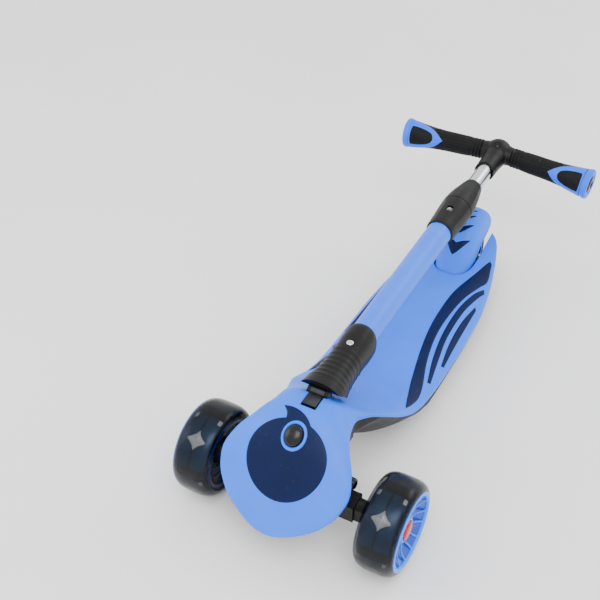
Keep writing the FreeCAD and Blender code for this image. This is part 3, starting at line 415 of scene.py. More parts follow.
SILVER = metal("silver_tube", (196, 198, 202), (224, 226, 230), (0.16, 0.30), brush=(1.0, 0.03, 1.0),
               seed=1.0)
STEEL = metal("zinc_steel", (150, 152, 156), (188, 190, 194), (0.28, 0.44), brush=(1.0, 1.0, 0.2),
              brush_scale=500, seed=2.0)
SPRING = metal("spring_wire", (120, 122, 126), (160, 162, 166), (0.22, 0.36), brush=(1.0, 1.0, 1.0), seed=3.0)
DARK_STEEL = metal("dark_steel", (52, 53, 57), (78, 80, 85), (0.26, 0.40), brush=(1.0, 0.1, 1.0),
                   brush_scale=600, seed=4.0)
CHROME = metal("polished_screw", (198, 200, 204), (222, 224, 228), (0.10, 0.20), brush=(0.3, 1.0, 1.0),
               brush_scale=700, seed=5.0)
CAP_BLUE = moulded("end_cap_blue", (24, 98, 244), (32, 110, 250), (0.34, 0.48), grain=0.02, dust=0.03,
                   specular=0.25, seed=10.0)
RED = moulded("red_hub_cap", (176, 0, 22), (196, 2, 30), (0.14, 0.24), grain=0.004, dust=0.01, coat=0.15,
              specular=0.3, dust_colour=(220, 90, 90), seed=11.0)
RING_BLUE = moulded("wheel_ring_blue", (44, 124, 246), (56, 138, 252), (0.22, 0.34), grain=0.008, dust=0.02,
                    specular=0.35, seed=12.0)
DISH_BLUE = moulded("wheel_dish_blue", (10, 62, 180), (18, 76, 198), (0.16, 0.28), grain=0.01, dust=0.03,
                    coat=0.2, seed=13.0)
DARK_DISH = moulded("wheel_inner_dish", (4, 10, 26), (8, 18, 40), (0.24, 0.38), grain=0.02, dust=0.03,
                    specular=0.3, seed=14.0)
INNER_BLUE = moulded("wheel_inner_ribs", (6, 36, 84), (12, 48, 104), (0.24, 0.38), grain=0.01, dust=0.03,
                     specular=0.3, seed=15.0)


def smoke_tyre():
    """Dark translucent tyre: tinted clear shell over the panels, with faint swirls and a scuffed tread."""
    finish = Finish("smoke_tyre", specular=0.3)
    swirl = finish.noise(55, detail=4, roughness=0.6)
    finish.colour(finish.ramp(swirl, [(0.3, (3, 5, 8)), (0.7, (8, 12, 18))]))
    scuff = finish.noise(240, detail=3, stretch=(0.15, 1.0, 1.0), seed=1.0)
    finish.roughness(finish.remap(scuff, 0.35, 0.75, 0.20, 0.34))
    gloss = finish.add("ShaderNodeLayerWeight", Blend=0.35)
    finish.link(finish.remap(gloss.outputs["Facing"], 0.0, 0.9, SMOKE_ALPHA, 0.95), finish.shader, "Alpha")
    finish.bump(scuff, 0.008)
    finish.bump(finish.noise(120, detail=2, seed=2.0), 0.01)
    return finish.done()


def flake_panel(name, dark, light, metallic=0.8, rough=(0.34, 0.44), facet=0.0):
    """Silvered film under the tyre, slightly mottled, with an optional faceted pattern."""
    finish = Finish(name, metallic=metallic)
    mottle = finish.noise(120, detail=4)
    colour = finish.ramp(mottle, [(0.3, dark), (0.7, light)])
    fine = finish.noise(1400, detail=2, seed=1.0)
    finish.colour(finish.mix(finish.remap(fine, 0.4, 0.75, 0, 0.3), colour, light))
    finish.roughness(finish.remap(fine, 0.3, 0.7, rough[0], rough[1]))
    if facet:
        cells = finish.add("ShaderNodeTexVoronoi", distance="CHEBYCHEV")
        cells.inputs["Scale"].default_value = 420
        finish.link(finish.place, cells, "Vector")
        finish.bump(cells.outputs["Distance"], facet)
    finish.bump(fine, 0.001)
    return finish.done()


SMOKE_ALPHA = 0.30
SMOKE = smoke_tyre()
PANEL_STEEL = flake_panel("tyre_panel_blue", (36, 62, 96), (58, 86, 124))
GAP_BLACK = flake_panel("tyre_gap_black", (5, 6, 8), (12, 13, 17), metallic=0.2, rough=(0.3, 0.5))
GEM_SILVER = flake_panel("tyre_gem_silver", (214, 218, 224), (246, 248, 252), metallic=0.25,
                         rough=(0.10, 0.25), facet=0.4)


# ------------------------------------------------------------------ deck shell
# Half width of the shell against the root of the distance from its front, so that the nose is round.
HALF_PLAN = [(0, 0), (2.45, 32), (4.47, 62), (6.16, 79), (7.21, 83), (8.37, 77), (9.59, 63), (10.86, 51),
             (11.66, 48), (12.69, 55), (13.78, 66), (15.03, 74), (16.61, 78), (18.44, 79), (20.15, 79),
             (21.82, 76), (22.93, 68.5), (23.81, 60), (24.6, 49.5), (24.84, 44),
             (24.98, 38), (25.06, 31.5)]
# Ridge and rim of the shell, as (s, z).
TOP_LINE = [(-86, 68), (-64, 100), (-42, 127), (-20, 150), (4, 168), (22, 176), (40, 177), (54, 167),
            (70, 150), (90, 133), (112, 119), (138, 102), (168, 87), (205, 76), (250, 71), (310, 69.5),
            (380, 68), (430, 65), (465, 64), (496, 70), (520, 77.5), (542, 81.5)]
RIM_LINE = [(-86, 63), (-66, 87), (-39, 113), (-10, 134), (19, 146), (45, 147), (70, 138), (102, 115),
            (130, 92), (165, 69), (200, 57), (254, 51), (320, 49), (410, 46), (451, 44), (490, 48),
            (516, 59), (534, 73), (542, 82)]
FRONT_S = -86
END_S = 542
plan_curve = smooth(HALF_PLAN)
top_curve = smooth(TOP_LINE)
rim_curve = smooth(RIM_LINE)
crown_power = smooth([(-86, 2.3), (40, 2.4), (110, 3.2), (200, 4.5), (430, 5.0), (542, 4.0)])
edge_power = smooth([(-86, 2.0), (60, 1.9), (200, 1.7), (542, 1.7)])
LIP = 3.5
SHELL_WALL = 3.0


def half_plan(s):
    return plan_curve(math.sqrt(max(s - FRONT_S, 0)))


def deck_top(x, s):
    """Height of the light shell's outer face."""
    width = max(half_plan(s), 0.01)
    rim = rim_curve(s)
    rise = top_curve(s) - rim
    lip = min(LIP, rise * 0.4)
    share = min(abs(x) / width, 1.0)
    return rim + lip + (rise - lip) * (1 - share ** crown_power(s)) ** (1 / edge_power(s))


def row_stations():
    """Rows close together at the nose, where the plan curves fastest."""
    front = [FRONT_S + 48 * (k / 30) ** 2 for k in range(30)]
    return front + list(np.arange(FRONT_S + 48, END_S - 2, 4.0)) + [END_S]


def deck_shell():
    """Hollow shell: the outer skin and an inner one a wall thickness behind it, joined along the rim."""
    sweep = np.sin(np.linspace(-math.pi / 2, math.pi / 2, 72))
    shrink = (END_S - FRONT_S - 2 * SHELL_WALL) / (END_S - FRONT_S)
    outer, inner = [], []
    for s in row_stations():
        width = half_plan(s)
        rim = rim_curve(s)
        top = [at(width * q, s, deck_top(width * q, s)) for q in sweep]
        outer.append([at(-width, s, rim)] + top + [at(width, s, rim)])
        back = FRONT_S + SHELL_WALL + (s - FRONT_S) * shrink
        narrow = max(half_plan(s) - SHELL_WALL, 0) if s > FRONT_S + 2 else 0
        rim = rim_curve(back)
        top = [at(narrow * q, back, max(deck_top(width * q, s) - SHELL_WALL, rim + 0.3)) for q in sweep]
        inner.append([at(-narrow, back, rim)] + top + [at(narrow, back, rim)])
    return slab("deck_shell_skin", outer, inner, LIGHT_BLUE)


# Opening for the rear fender and wheel, rounded where it meets the deck.
TAIL_SLOT = [(6, 443.4), (13, 444.4), (18, 447.6), (22.4, 452.4), (25.6, 459), (28, 467), (29.6, 476),
             (30.6, 488), (31, 500), (31, 620)]
# Button axis, square to the hood's slope.
BUTTON = at(0, -10.4, 157.2)
BUTTON_OUT = Vector((0, -0.6, 0.8))
shell = deck_shell()
cuts = [lathe("ring_hole", [(-12, 0), (-12, 13.4), (12, 13.4), (12, 0)], BUTTON, BUTTON_OUT, PLAIN, 64),
        block("tongue_slot", (-9.9, 21, 150), (9.9, 75, 215)),
        prism("wheel_opening", TAIL_SLOT, 20, 200)]
carve(shell, cuts)
soften(shell, 0.7, 2, 50)
finish_piece(shell, "deck", ["deck_shell"], 40)


# ------------------------------------------------------------------ black under-shell
arch_curve = smooth([(-86, 60), (-68, 81), (-45, 99), (-20, 114), (0, 121), (22, 124), (45, 119), (62, 106),
                     (80, 84), (100, 61), (122, 47), (150, 41.5), (180, 41), (430, 41), (440, 37), (465, 32),
                     (490, 30), (512, 31), (526, 38), (536, 56), (542, 76)])
tray_inset = smooth([(-86, 7.0), (-60, 8.0), (-10, 6.0), (40, 1.8), (70, 0.6), (542, 0.6)])
tray_corner = smooth([(-86, 14), (-10, 13), (50, 6), (110, 6), (180, 5), (542, 5)])


def tray_bottom(x, s):
    """Underside of the black shell: the arch over the truck is bowed in plan."""
    lag = 60 * (abs(x) / 70) ** 2.2 * min(max((s - 20) / 40, 0), 1) * min(max((260 - s) / 60, 0), 1)
    return arch_curve(s - lag if s < 260 else s)


def under_tray():
    columns = 56
    rows = row_stations()[9:-1]
    rings = []
    for s in rows:
        width = max(half_plan(s) - tray_inset(s), 0.5)
        lid = rim_curve(s) + (2.0 if s < 440 else 0.5)
        radius = min(tray_corner(s), width * 0.5)
        ring = [at(-width, s, lid)]
        for q in np.sin(np.linspace(-math.pi / 2, math.pi / 2, columns)):
            x = width * q
            over = max(abs(x) - (width - radius), 0)
            z = tray_bottom(x, s) + radius - math.sqrt(max(radius ** 2 - over ** 2, 0))
            ring.append(at(x, s, min(z, lid - 1.5)))
        ring.append(at(width, s, lid))
        ring.append(at(width * 0.8, s, lid))
        ring.append(at(-width * 0.8, s, lid))
        rings.append(ring)
    return loft("under_tray_body", rings, UNDER_BLACK)


tray = under_tray()
tray_cuts = [block("wheel_slot", (-20, 478, 0), (20, 600, 200)),
             prism("fender_room", TAIL_SLOT, 43, 200),
             block("truck_window", (-43.5, -36, 40), (43.5, 60, 200)),
             block("neck_room", (-16, 30, 128), (16, 85, 200))]
for low_s in (206, 268, 330):
    for sign in (-1, 1):
        low_x, high_x = sorted((sign * 8, sign * 52))
        tray_cuts.append(block("relief", (low_x, low_s, 36), (high_x, low_s + 46, 43.5)))
carve(tray, tray_cuts)
soften(tray, 1.0, 2, 50)
finish_piece(tray, "deck", ["under_tray"], 40)


# ------------------------------------------------------------------ raised pads on a surface
def closed_outline(points, count=96):
    """Smooth closed curve through plan points; a corner stays sharp where a point is given twice."""
    pts = [np.array(p, float) for p in points]
    size = len(pts)
    out = []
    for i in range(size):
        a, b, c, d = (pts[(i + k) % size] for k in (-1, 0, 1, 2))
        if np.allclose(b, c):
            continue
        a = b if np.allclose(a, b) else a
        d = c if np.allclose(c, d) else d
        for t in np.linspace(0, 1, 12, endpoint=False):
            out.append(0.5 * (2 * b + (c - a) * t + (2 * a - 5 * b + 4 * c - d) * t * t
                              + (3 * b - a - 3 * c + d) * t ** 3))
    out = np.array(out + [out[0]])
    run = np.concatenate([[0], np.cumsum(np.linalg.norm(np.diff(out, axis=0), axis=1))])
    wanted = np.linspace(0, run[-1], count, endpoint=False)
    return np.stack([np.interp(wanted, run, out[:, 0]), np.interp(wanted, run, out[:, 1])], 1)


def spine_patch(name, left, right, surface, height, material, sink=1.2, count=60, across=9, edge=1.2):
    """Raised pad between two plan curves of equal direction. surface(x, s) gives the height below it."""
    a, b = path(left, count), path(right, count)
    top, bottom = [], []
    for i in range(count):
        row_top, row_low = [], []
        for j in range(across):
            share = 0.5 - 0.5 * math.cos(math.pi * j / (across - 1))
            x, s = a[i] * (1 - share) + b[i] * share
            rim_distance = min(np.linalg.norm([x, s] - a[i]), np.linalg.norm([x, s] - b[i]),
                               np.linalg.norm([x, s] - (a[0] + b[0]) / 2) if i < 6 else 99,
                               np.linalg.norm([x, s] - (a[-1] + b[-1]) / 2) if i > count - 7 else 99)
            fall = max(1 - rim_distance / edge, 0)
            z = surface(x, s)
            row_top.append(at(x, s, z + height * math.sqrt(max(1 - fall ** 2, 0)) + 0.02))
            row_low.append(at(x, s, z - sink))
        top.append(row_top)
        bottom.append(row_low)
    return slab(name, top, bottom, material)


PADS = [
    # Inner edge then outer edge of each pad on the rider's left, as (x, s) from front to back.
    ([(68.5, 152), (60, 178), (50, 212), (37, 268), (29, 318), (26.5, 362), (27.5, 408), (34.5, 446),
      (43, 482), (48, 497)],
     [(70, 151.5), (71.5, 168), (71.5, 188), (66.5, 212), (54, 252), (45.5, 292), (42, 329), (43, 369),
      (47, 405), (54.5, 438), (59, 460), (52, 494)]),
    ([(68.5, 222), (56.5, 268), (49, 318), (47.5, 371), (53, 415), (61.5, 441)],
     [(72.5, 224), (64.5, 268), (57.5, 314), (56.5, 370), (61, 411), (65, 434)]),
    ([(71, 262), (64.5, 303), (62, 350), (65.5, 396)],
     [(74.5, 264), (72.3, 303), (70.5, 350), (69, 391)]),
]
for sign, hand in ((1, "left"), (-1, "right")):
    for index, (inner_edge, outer_edge) in enumerate(PADS):
        pad = spine_patch("deck_pad_%s_%d" % (hand, index), [(sign * x, s) for x, s in inner_edge],
                          [(sign * x, s) for x, s in outer_edge], deck_top, 1.0, PAD)
        finish_piece(pad, "deck", ["deck_pads"], 50)


# ------------------------------------------------------------------ hood panel, crest and button
def wrap_disc(name, centre, radius, height, material, rings=26, turns=128):
    """Thin round panel that follows the hood. The disc is measured along the surface's own slope."""
    cx, cs = centre
    slope = (deck_top(cx, cs + 1) - deck_top(cx, cs - 1)) / 2
    shorten = 1 / math.sqrt(1 + slope * slope)
    steps = [(r, height) for r in np.linspace(0, radius - 1.4, rings)]
    steps += [(radius - inward, height * share)
              for inward, share in ((0.8, 0.9), (0.35, 0.62), (0.08, 0.3), (0, 0))]
    steps = [(r, rise + 0.03) for r, rise in steps] + [(radius, -1.0), (0, -1.0)]
    verts = []
    for r, rise in steps:
        for angle in full_turn(turns):
            x = cx + r * math.cos(angle)
            s = cs + r * math.sin(angle) * shorten
            verts.append(at(x, s, deck_top(x, s) + rise))
    return new_mesh(name, verts, grid_faces(len(steps), turns, close_columns=True), material)


panel = wrap_disc("hood_panel_skin", (-0.5, -29.5), 49.4, 1.0, NAVY)
finish_piece(panel, "deck", ["hood_panel"], 40)
pin_mark = wrap_disc("hood_pin_mark", (17, -34), 1.2, 1.3, GLOSS_BLACK, rings=4, turns=24)
finish_piece(pin_mark, "deck", ())


def hood_patch(name, outline, height, material, count=96):
    """Low patch with a rounded edge that lies on the hood."""
    ring = closed_outline(outline, count)
    mid = ring.mean(axis=0)
    verts = []
    for share, up in ((0.15, height), (0.4, height), (0.65, height), (0.88, height), (0.96, height * 0.8),
                      (1.0, height * 0.2), (1.0, -0.8)):
        for point in ring:
            px, ps = mid + (point - mid) * share
            verts.append(at(px, ps, deck_top(px, ps) + up))
    faces = grid_faces(7, count, close_columns=True)
    for start in (0, 6 * count):
        verts.append(sum((verts[start + k] for k in range(count)), Vector()) / count)
        faces += [(len(verts) - 1, start + k, start + (k + 1) % count) for k in range(count)]
    return new_mesh(name, verts, faces, material)


CREST = [(21, -8), (12, 5), (0, 12.4), (-14, 15.4), (-27, 14.6), (-27, 14.6), (-20.5, 9), (-18, 2), (-22, -6),
         (-12, -12), (4, -12)]
finish_piece(hood_patch("hood_crest", CREST, 1.02, NAVY), "deck", ())


def stretch_on_slope(piece, wide, long):
    """Makes a round piece on the button's axis oval: wide across the hood, long down its slope."""
    down = BUTTON_OUT.cross(Vector((1, 0, 0)))
    for vertex in piece.data.vertices:
        offset = vertex.co - BUTTON
        vertex.co += Vector((offset.x * (wide - 1), 0, 0)) + down * (offset.dot(down) * (long - 1))


ring = lathe("button_ring_skin", [(-4, 10.4), (1.6, 10.4), (2.6, 10.7), (3.2, 11.2), (3.4, 11.9), (3.2, 12.7),
                                  (2.4, 13.5), (1.2, 13.9), (-4, 13.9)], BUTTON, BUTTON_OUT, LIGHT_BLUE, 96)
stretch_on_slope(ring, 1.12, 1.30)
finish_piece(ring, "deck", ["button_ring"], 60)
dome = [(-19, 0), (-19, 3), (-7, 3), (-7, 8.6), (-6, 10.0), (3.2, 10.0), (4.4, 9.9), (5.6, 9.4), (6.6, 8.5),
        (7.5, 7.2), (8.2, 5.6), (8.7, 3.8), (8.9, 1.9), (9.0, 0)]
button = lathe("fold_button_skin", dome, BUTTON, BUTTON_OUT, GLOSS_BLACK, 96)
stretch_on_slope(button, 1.12, 1.30)
finish_piece(button, "release_button", ["fold_button"], 60)


# ------------------------------------------------------------------ boot, stem and clamp
def signed_power(value, exponent):
    return math.copysign(abs(value) ** exponent, value)


def superellipse(half_a, half_b, power, count):
    """Points of a rounded rectangle; a higher power makes squarer corners."""
    share = 2 / power
    return [(half_a * signed_power(math.cos(angle), share), half_b * signed_power(math.sin(angle), share))
            for angle in full_turn(count)]


BOOT = [
    # Station s, half width, centre height, half height.
    (44, 31.5, 161.8, 30.0), (62, 28.0, 162.0, 27.6), (84, 23.2, 163.0, 24.4), (106, 21.2, 163.6, 23.4),
    (128, 20.8, 164.0, 24.6), (146, 21.2, 164.0, 26.0), (156, 21.0, 164.2, 25.8), (162, 19.9, 164.5, 24.8),
    (165, 18.2, 165.0, 23.0),
]


def boot_body():
    width = smooth([(p[0], p[1]) for p in BOOT])
    middle = smooth([(p[0], p[2]) for p in BOOT])
    rise = smooth([(p[0], p[3]) for p in BOOT])
    rings = []
    for s in list(np.arange(36, 156, 1.5)) + [157, 159, 161, 162.5, 163.6, 164.5, 165]:
        rib = 0.55 * max(math.cos(2 * math.pi * (s - 66) / 8.5), 0) ** 2 if 62 < s < 121 else 0.0
        station = max(s, 44)
        rings.append([at(x, s, middle(station) + z) for x, z in
                      superellipse(width(station) + rib, rise(station) + rib, 2.3, 96)])
    return loft("boot_skin", rings, BLACK)


def boot_cut_line(z):
    """How far forward the boot reaches at each height, following the back of the hood."""
    line = smooth([(100, 97), (131, 95), (150, 77), (170, 60), (181, 50), (200, 48)])
    return line(z)


def oblique_cutter():
    profile = [(boot_cut_line(z), z) for z in np.linspace(100, 205, 36)]
    loop = profile + [(20, 205), (20, 100)]
    return loft("boot_front_cut", [[at(x, s, z) for s, z in loop] for x in (-60, 60)], PLAIN)


boot = boot_body()
boot_cuts = [oblique_cutter(), block("boot_hollow", (-14, 20, 128), (14, 95, 182.4)),
             lathe("boot_tube_room", [(-4, 0), (-4, 17.6), (90, 17.6), (90, 0)], at(0, 96, STEM_Z), (0, 1, 0),
                   PLAIN, 64),
             lathe("boot_screw_room", [(0, 0), (0, 5.0), (20, 5.0), (20, 0)], at(0, 128, 186.5), (0, 0, 1),
                   PLAIN, 48)]
carve(boot, boot_cuts)
soften(boot, 1.2, 3, 55)
finish_piece(boot, "stem", ["boot"], 45)


def screw_head(name, centre, axis, radius, height, material, recess=0.55):
    """Domed screw head with a cross recess."""
    profile = [(-1.5, 0), (-1.5, radius * 0.94), (0.0, radius), (height * 0.35, radius * 0.98)]
    profile += [(height * (0.35 + 0.65 * math.sin(t)), radius * 0.98 * math.cos(t))
                for t in np.linspace(0.25, math.pi / 2, 8)]
    head = lathe(name, profile, centre, axis, material, 64)
    turn = axis_frame(axis)
    cutters = []
    for quarter in (0, 1):
        arm, thin = radius * recess, radius * 0.13
        a, b = (arm, thin) if quarter else (thin, arm)
        cutter = block("recess", (-a, 0, -b), (a, 0, b))
        verts = [Vector((along, y, z)) * MM for along in (height * 0.35, height * 1.5) for y in (-a, a)
                 for z in (-b, b)]
        for vertex, place in zip(cutter.data.vertices, verts):
            vertex.co = centre + turn @ place
        cutters.append(cutter)
    bpy.context.view_layer.update()
    carve(head, cutters)
    return head


screw = screw_head("boot_screw_head", at(0, 128, 187.2), (0, 0, 1), 4.6, 2.6, CHROME)
finish_piece(screw, "stem", ["boot_screw"], 40)

TUBE_START, TUBE_LENGTH, TUBE_BORE = 95, 345, TUBE_R - 1.8
tube = lathe("stem_tube_skin", [(0, TUBE_BORE), (0, TUBE_R), (TUBE_LENGTH, TUBE_R), (TUBE_LENGTH, TUBE_BORE)],
             at(0, TUBE_START, STEM_Z), (0, 1, 0), TUBE_BLUE, 128)
LOCK = at(0, 431, 188.8)
carve(tube, [lathe("height_button_hole", [(-9, 0), (-9, 4.3), (9, 4.3), (9, 0)], LOCK, (0, 0, 1), PLAIN, 48)])
finish_piece(tube, "stem", ["stem_tube"], 50)


def faceted_sleeve(name, stations, origin_s, facets, depth, inner, material):
    """Sleeve with soft lengthwise facets on its outside and a round bore."""
    count = facets * 12
    rings = []
    radius = smooth(stations)
    steps = sorted({round(v, 3) for v in np.linspace(stations[0][0], stations[-1][0], 44)}
                   | {p[0] for p in stations})
    for along in steps:
        ring = []
        fade = math.sin(math.pi * min(max((along - steps[0]) / (steps[-1] - steps[0]), 0), 1)) ** 0.5
        for k in range(count):
            angle = 2 * math.pi * k / count
            local = ((angle / (2 * math.pi) * facets) % 1) - 0.5
            r = radius(along) - depth * fade * (0.25 - local * local) * 4 * 0.5
            ring.append(at(r * math.sin(angle), origin_s + along, STEM_Z + r * math.cos(angle)))
        rings.append(ring)
    bore = [[at(inner * math.sin(2 * math.pi * k / count), origin_s + along,
                STEM_Z + inner * math.cos(2 * math.pi * k / count)) for k in range(count)]
            for along in reversed(steps)]
    rings += bore
    verts = [p for ring in rings for p in ring]
    return new_mesh(name, verts, grid_faces(len(rings), count, close_rows=True, close_columns=True), material)


# Outer profiles of the clamp's two sleeves, as (distance from the lower end, radius).
CLAMP_LOWER = [(0, 18.6), (0.8, 19.3), (2.2, 19.9), (20, 20.9), (42, 22.2), (57, 22.7), (58.6, 22.5),
               (59.6, 21.7)]
CLAMP_UPPER = [(0, 21.6), (0.9, 22.4), (2.4, 22.7), (14, 22.2), (34, 19.6), (50, 16.4), (58, 14.7),
               (61, 13.8), (62, 13.0)]
lower = faceted_sleeve("clamp_lower_skin", CLAMP_LOWER, 398, 12, 0.9, TUBE_R + 0.05, BLACK)
carve(lower, [block("button_window", (-4.2, 426, 184), (4.2, 436, 200))])
soften(lower, 0.6, 2, 50)
finish_piece(lower, "stem", ["clamp_lower"], 35)
upper = faceted_sleeve("clamp_upper_skin", CLAMP_UPPER, 458.4, 12, 0.9, 12.3, BLACK)
finish_piece(upper, "stem", ["clamp_upper"], 35)
seam = lathe("clamp_seam_ring", [(-1.6, 20.2), (-1.2, 21.3), (0, 21.7), (1.2, 21.3), (1.6, 20.2)],
             at(0, 458.2, STEM_Z), (0, 1, 0), GLOSS_BLACK, 96)
finish_piece(seam, "stem", (), 60)
lock = lathe("height_button_skin", [(-4, 0), (-4, 3.9), (-0.5, 3.9), (-0.4, 2.6), (1.0, 2.5), (1.5, 2.1),
                                    (1.8, 1.1), (1.9, 0)], LOCK, (0, 0, 1), STEEL, 64)
finish_piece(lock, "lock_button", ["height_button"], 60)


# ------------------------------------------------------------------ handlebar
BAR_SWEEP = math.radians(2.7)
BAR_DROOP = math.radians(2.0)
HUB = at(0, 619, 170.5)


def bar_axis(sign):
    return Vector((sign, -math.tan(BAR_SWEEP), -math.tan(BAR_DROOP))).normalized()


BAR_R = 11.0
BORE_R = BAR_R + 0.1
# Distance from the hub and radius: three ring grooves, then a grip that swells towards the flared end.
GRIP_LINE = [(24, BORE_R), (24, 13.6), (24.6, 14.4), (26.6, 14.7), (28.0, 14.2), (28.6, 13.5), (29.4, 14.3),
             (31.4, 14.7), (33.0, 14.2), (33.6, 13.5), (34.4, 14.3), (36.4, 14.7), (38.0, 14.2), (38.6, 13.6),
             (39.6, 14.2), (46, 14.8), (56, 15.1), (68, 15.2), (80, 15.3), (90, 15.7), (96, 16.1),
             (98.8, 16.2), (99.4, 15.6), (99.4, BORE_R)]
FLARE = [(80, 15.3), (90, 15.7), (100, 16.4), (110, 17.3), (120, 18.4), (130, 19.8), (137, 20.9)]
flare_radius = smooth(FLARE)
SLEEVE_LINE = [(99.8, BORE_R), (99.8, 15.7), (100.4, 16.4)]
SLEEVE_LINE += [(d, flare_radius(d)) for d in range(104, 136, 4)]
SLEEVE_LINE += [(136.2, 20.6), (136.8, 20.0), (136.8, BORE_R)]
CAP_LINE = [(137.0, BORE_R), (137.0, 20.4), (137.5, 21.0), (139.5, 21.6), (141.5, 22.2), (143.5, 22.5),
            (145.0, 22.3), (146.3, 21.4), (147.0, 19.9), (147.1, 17.4), (146.4, 14.8), (145.6, 13.4),
            (145.4, 12.6), (138.6, 12.6), (138.6, BORE_R)]
PLUG_LINE = [(118.5, 0), (118.5, 9.3), (138.8, 9.3), (138.8, 12.4), (145.0, 12.4), (146.6, 11.6),
             (147.5, 10.2), (147.9, 8.4), (147.9, 5.6), (147.4, 5.1), (144.4, 5.0), (144, 4.4), (144, 0)]
# Patches on the grip as (distance, degrees towards the rider's front), turned as a whole by PATCH_TURN.
PATCH_TURN = 22
BLUE_PATCH = [(84, 42), (84, 42), (92, 14), (103, -12), (118, -31), (136.6, -40), (136.6, -40), (136.8, 0),
              (136.8, 42), (136.8, 84), (136.6, 124), (136.6, 124), (118, 115), (103, 96), (92, 70)]
INSET_PATCH = [(103, 16), (100, 30), (99.6, 46), (103, 64), (112, 78), (124, 84), (134, 83), (134, 83),
               (135, 60), (135, 22), (134, 1), (134, 1), (124, 0), (112, 5)]


def bar_frame(sign):
    """Directions along the bar, up and to the rider's front."""
    along = bar_axis(sign)
    up = (Vector((0, 0, 1)) - along * along.z).normalized()
    return along, up, along.cross(up) * sign


def bar_place(sign, distance, radius, angle):
    along, up, front = bar_frame(sign)
    return HUB + (along * distance + up * radius * math.cos(angle) + front * radius * math.sin(angle)) * MM


def bar_skin(name, sign, stations, material, count=128, ribs=None):
    """Skin round the bar through (distance, radius) stations, closed on its bore."""
    verts = []
    for distance, radius in stations:
        for angle in full_turn(count):
            depth = ribs(distance, radius, angle) if ribs else 0
            verts.append(bar_place(sign, distance, radius - depth, angle))
    faces = grid_faces(len(stations), count, close_rows=True, close_columns=True)
    return new_mesh(name, verts, faces, material)


def grip_groove(distance, radius, angle):
    """Lengthwise grooves in the rubber between the rings and the flared end."""
    if 41 < distance < 97 and radius > BORE_R + 1:
        return 0.55 * max(math.cos(18 * angle), 0) ** 6
    return 0.0


def bar_patch(name, sign, outline, height, material, count=120, sink=0.6):
    ring = closed_outline(outline, count)
    mid = ring.mean(axis=0)

    def lifted(distance, degrees, rise):
        return bar_place(sign, distance, flare_radius(distance) + rise, math.radians(degrees + PATCH_TURN))

    verts = []
    for share, rise in ((0.12, height), (0.3, height), (0.5, height), (0.7, height), (0.85, height),
                        (0.95, height), (0.985, height * 0.75), (1.0, height * 0.15), (1.0, -sink)):
        verts += [lifted(*(mid + (point - mid) * share), rise) for point in ring]
    faces = grid_faces(9, count, close_columns=True)
    for start, rise in ((0, height), (8 * count, -sink)):
        verts.append(lifted(*mid, rise))
        faces += [(len(verts) - 1, start + k, start + (k + 1) % count) for k in range(count)]
    return new_mesh(name, verts, faces, material)


def stations_between(line, step):
    fine = []
    for (d0, r0), (d1, r1) in zip(line, line[1:]):
        parts = max(int(abs(d1 - d0) / step), 1)
        fine += [(d0 + (d1 - d0) * k / parts, r0 + (r1 - r0) * k / parts) for k in range(parts)]
    return fine + [line[-1]]


for sign, hand in ((1, "left"), (-1, "right")):
    grip = bar_skin("grip_%s_skin" % hand, sign, stations_between(GRIP_LINE, 2.5), RUBBER, 144, grip_groove)
    finish_piece(grip, "handlebar", ["grip_" + hand], 60)
    wrap = bar_skin("grip_sleeve_%s_skin" % hand, sign, SLEEVE_LINE, BLACK)
    finish_piece(wrap, "handlebar", ["grip_sleeve_" + hand], 50)
    # Painted shadow: a thin gloss-black band just outside the blue panel stands in for the shadow gap along
    # its edge.
    painted_shadow_outline = [(d - 1.3 * (1 - (d - 84) / 53), 42 + (deg - 42) * 1.045) for d, deg in BLUE_PATCH]
    edge = bar_patch("grip_painted_shadow_gap_" + hand, sign, painted_shadow_outline, 0.4, GLOSS_BLACK)
    finish_piece(edge, "handlebar", (), 50)
    blue_panel = bar_patch("grip_panel_" + hand, sign, BLUE_PATCH, 1.0, CAP_BLUE)
    finish_piece(blue_panel, "handlebar", (), 50)
    inset = bar_patch("grip_inset_" + hand, sign, INSET_PATCH, 1.5, RUBBER)
    finish_piece(inset, "handlebar", ["grip_insets"], 50)
    end_cap = bar_skin("end_cap_%s_skin" % hand, sign, CAP_LINE, CAP_BLUE)
    finish_piece(end_cap, "handlebar", ["end_cap_" + hand], 50)
    plug = lathe("end_plug_%s_skin" % hand, PLUG_LINE, HUB, bar_axis(sign), GLOSS_BLACK, 96)
    finish_piece(plug, "handlebar", ["end_plugs"], 50)


def merged(name, parts, voxel, material, passes=6):
    """Voxel union of overlapping blanks, relaxed so that the joins run into each other."""
    bpy.context.view_layer.update()
    form = bmesh.new()
    for part in parts:
        form.from_mesh(part.data)
    mesh = bpy.data.meshes.new(name)
    form.to_mesh(mesh)
    form.free()
    for part in parts:
        bpy.data.objects.remove(part)
    piece = bpy.data.objects.new(name, mesh)
    bpy.context.scene.collection.objects.link(piece)
    remesh = piece.modifiers.new("union", "REMESH")
    remesh.mode = "VOXEL"
    remesh.voxel_size = voxel * MM
    relax = piece.modifiers.new("relax", "SMOOTH")
    relax.iterations = passes
    relax.factor = 0.6
    apply_modifiers(piece)
    piece.data.materials.clear()
    piece.data.materials.append(material)
    return piece


def ball(name, centre, radius):
    profile = [(-math.cos(t) * radius, math.sin(t) * radius) for t in np.linspace(0, math.pi, 40)]
    return lathe(name, profile, centre, (1, 0, 0), PLAIN, 72)


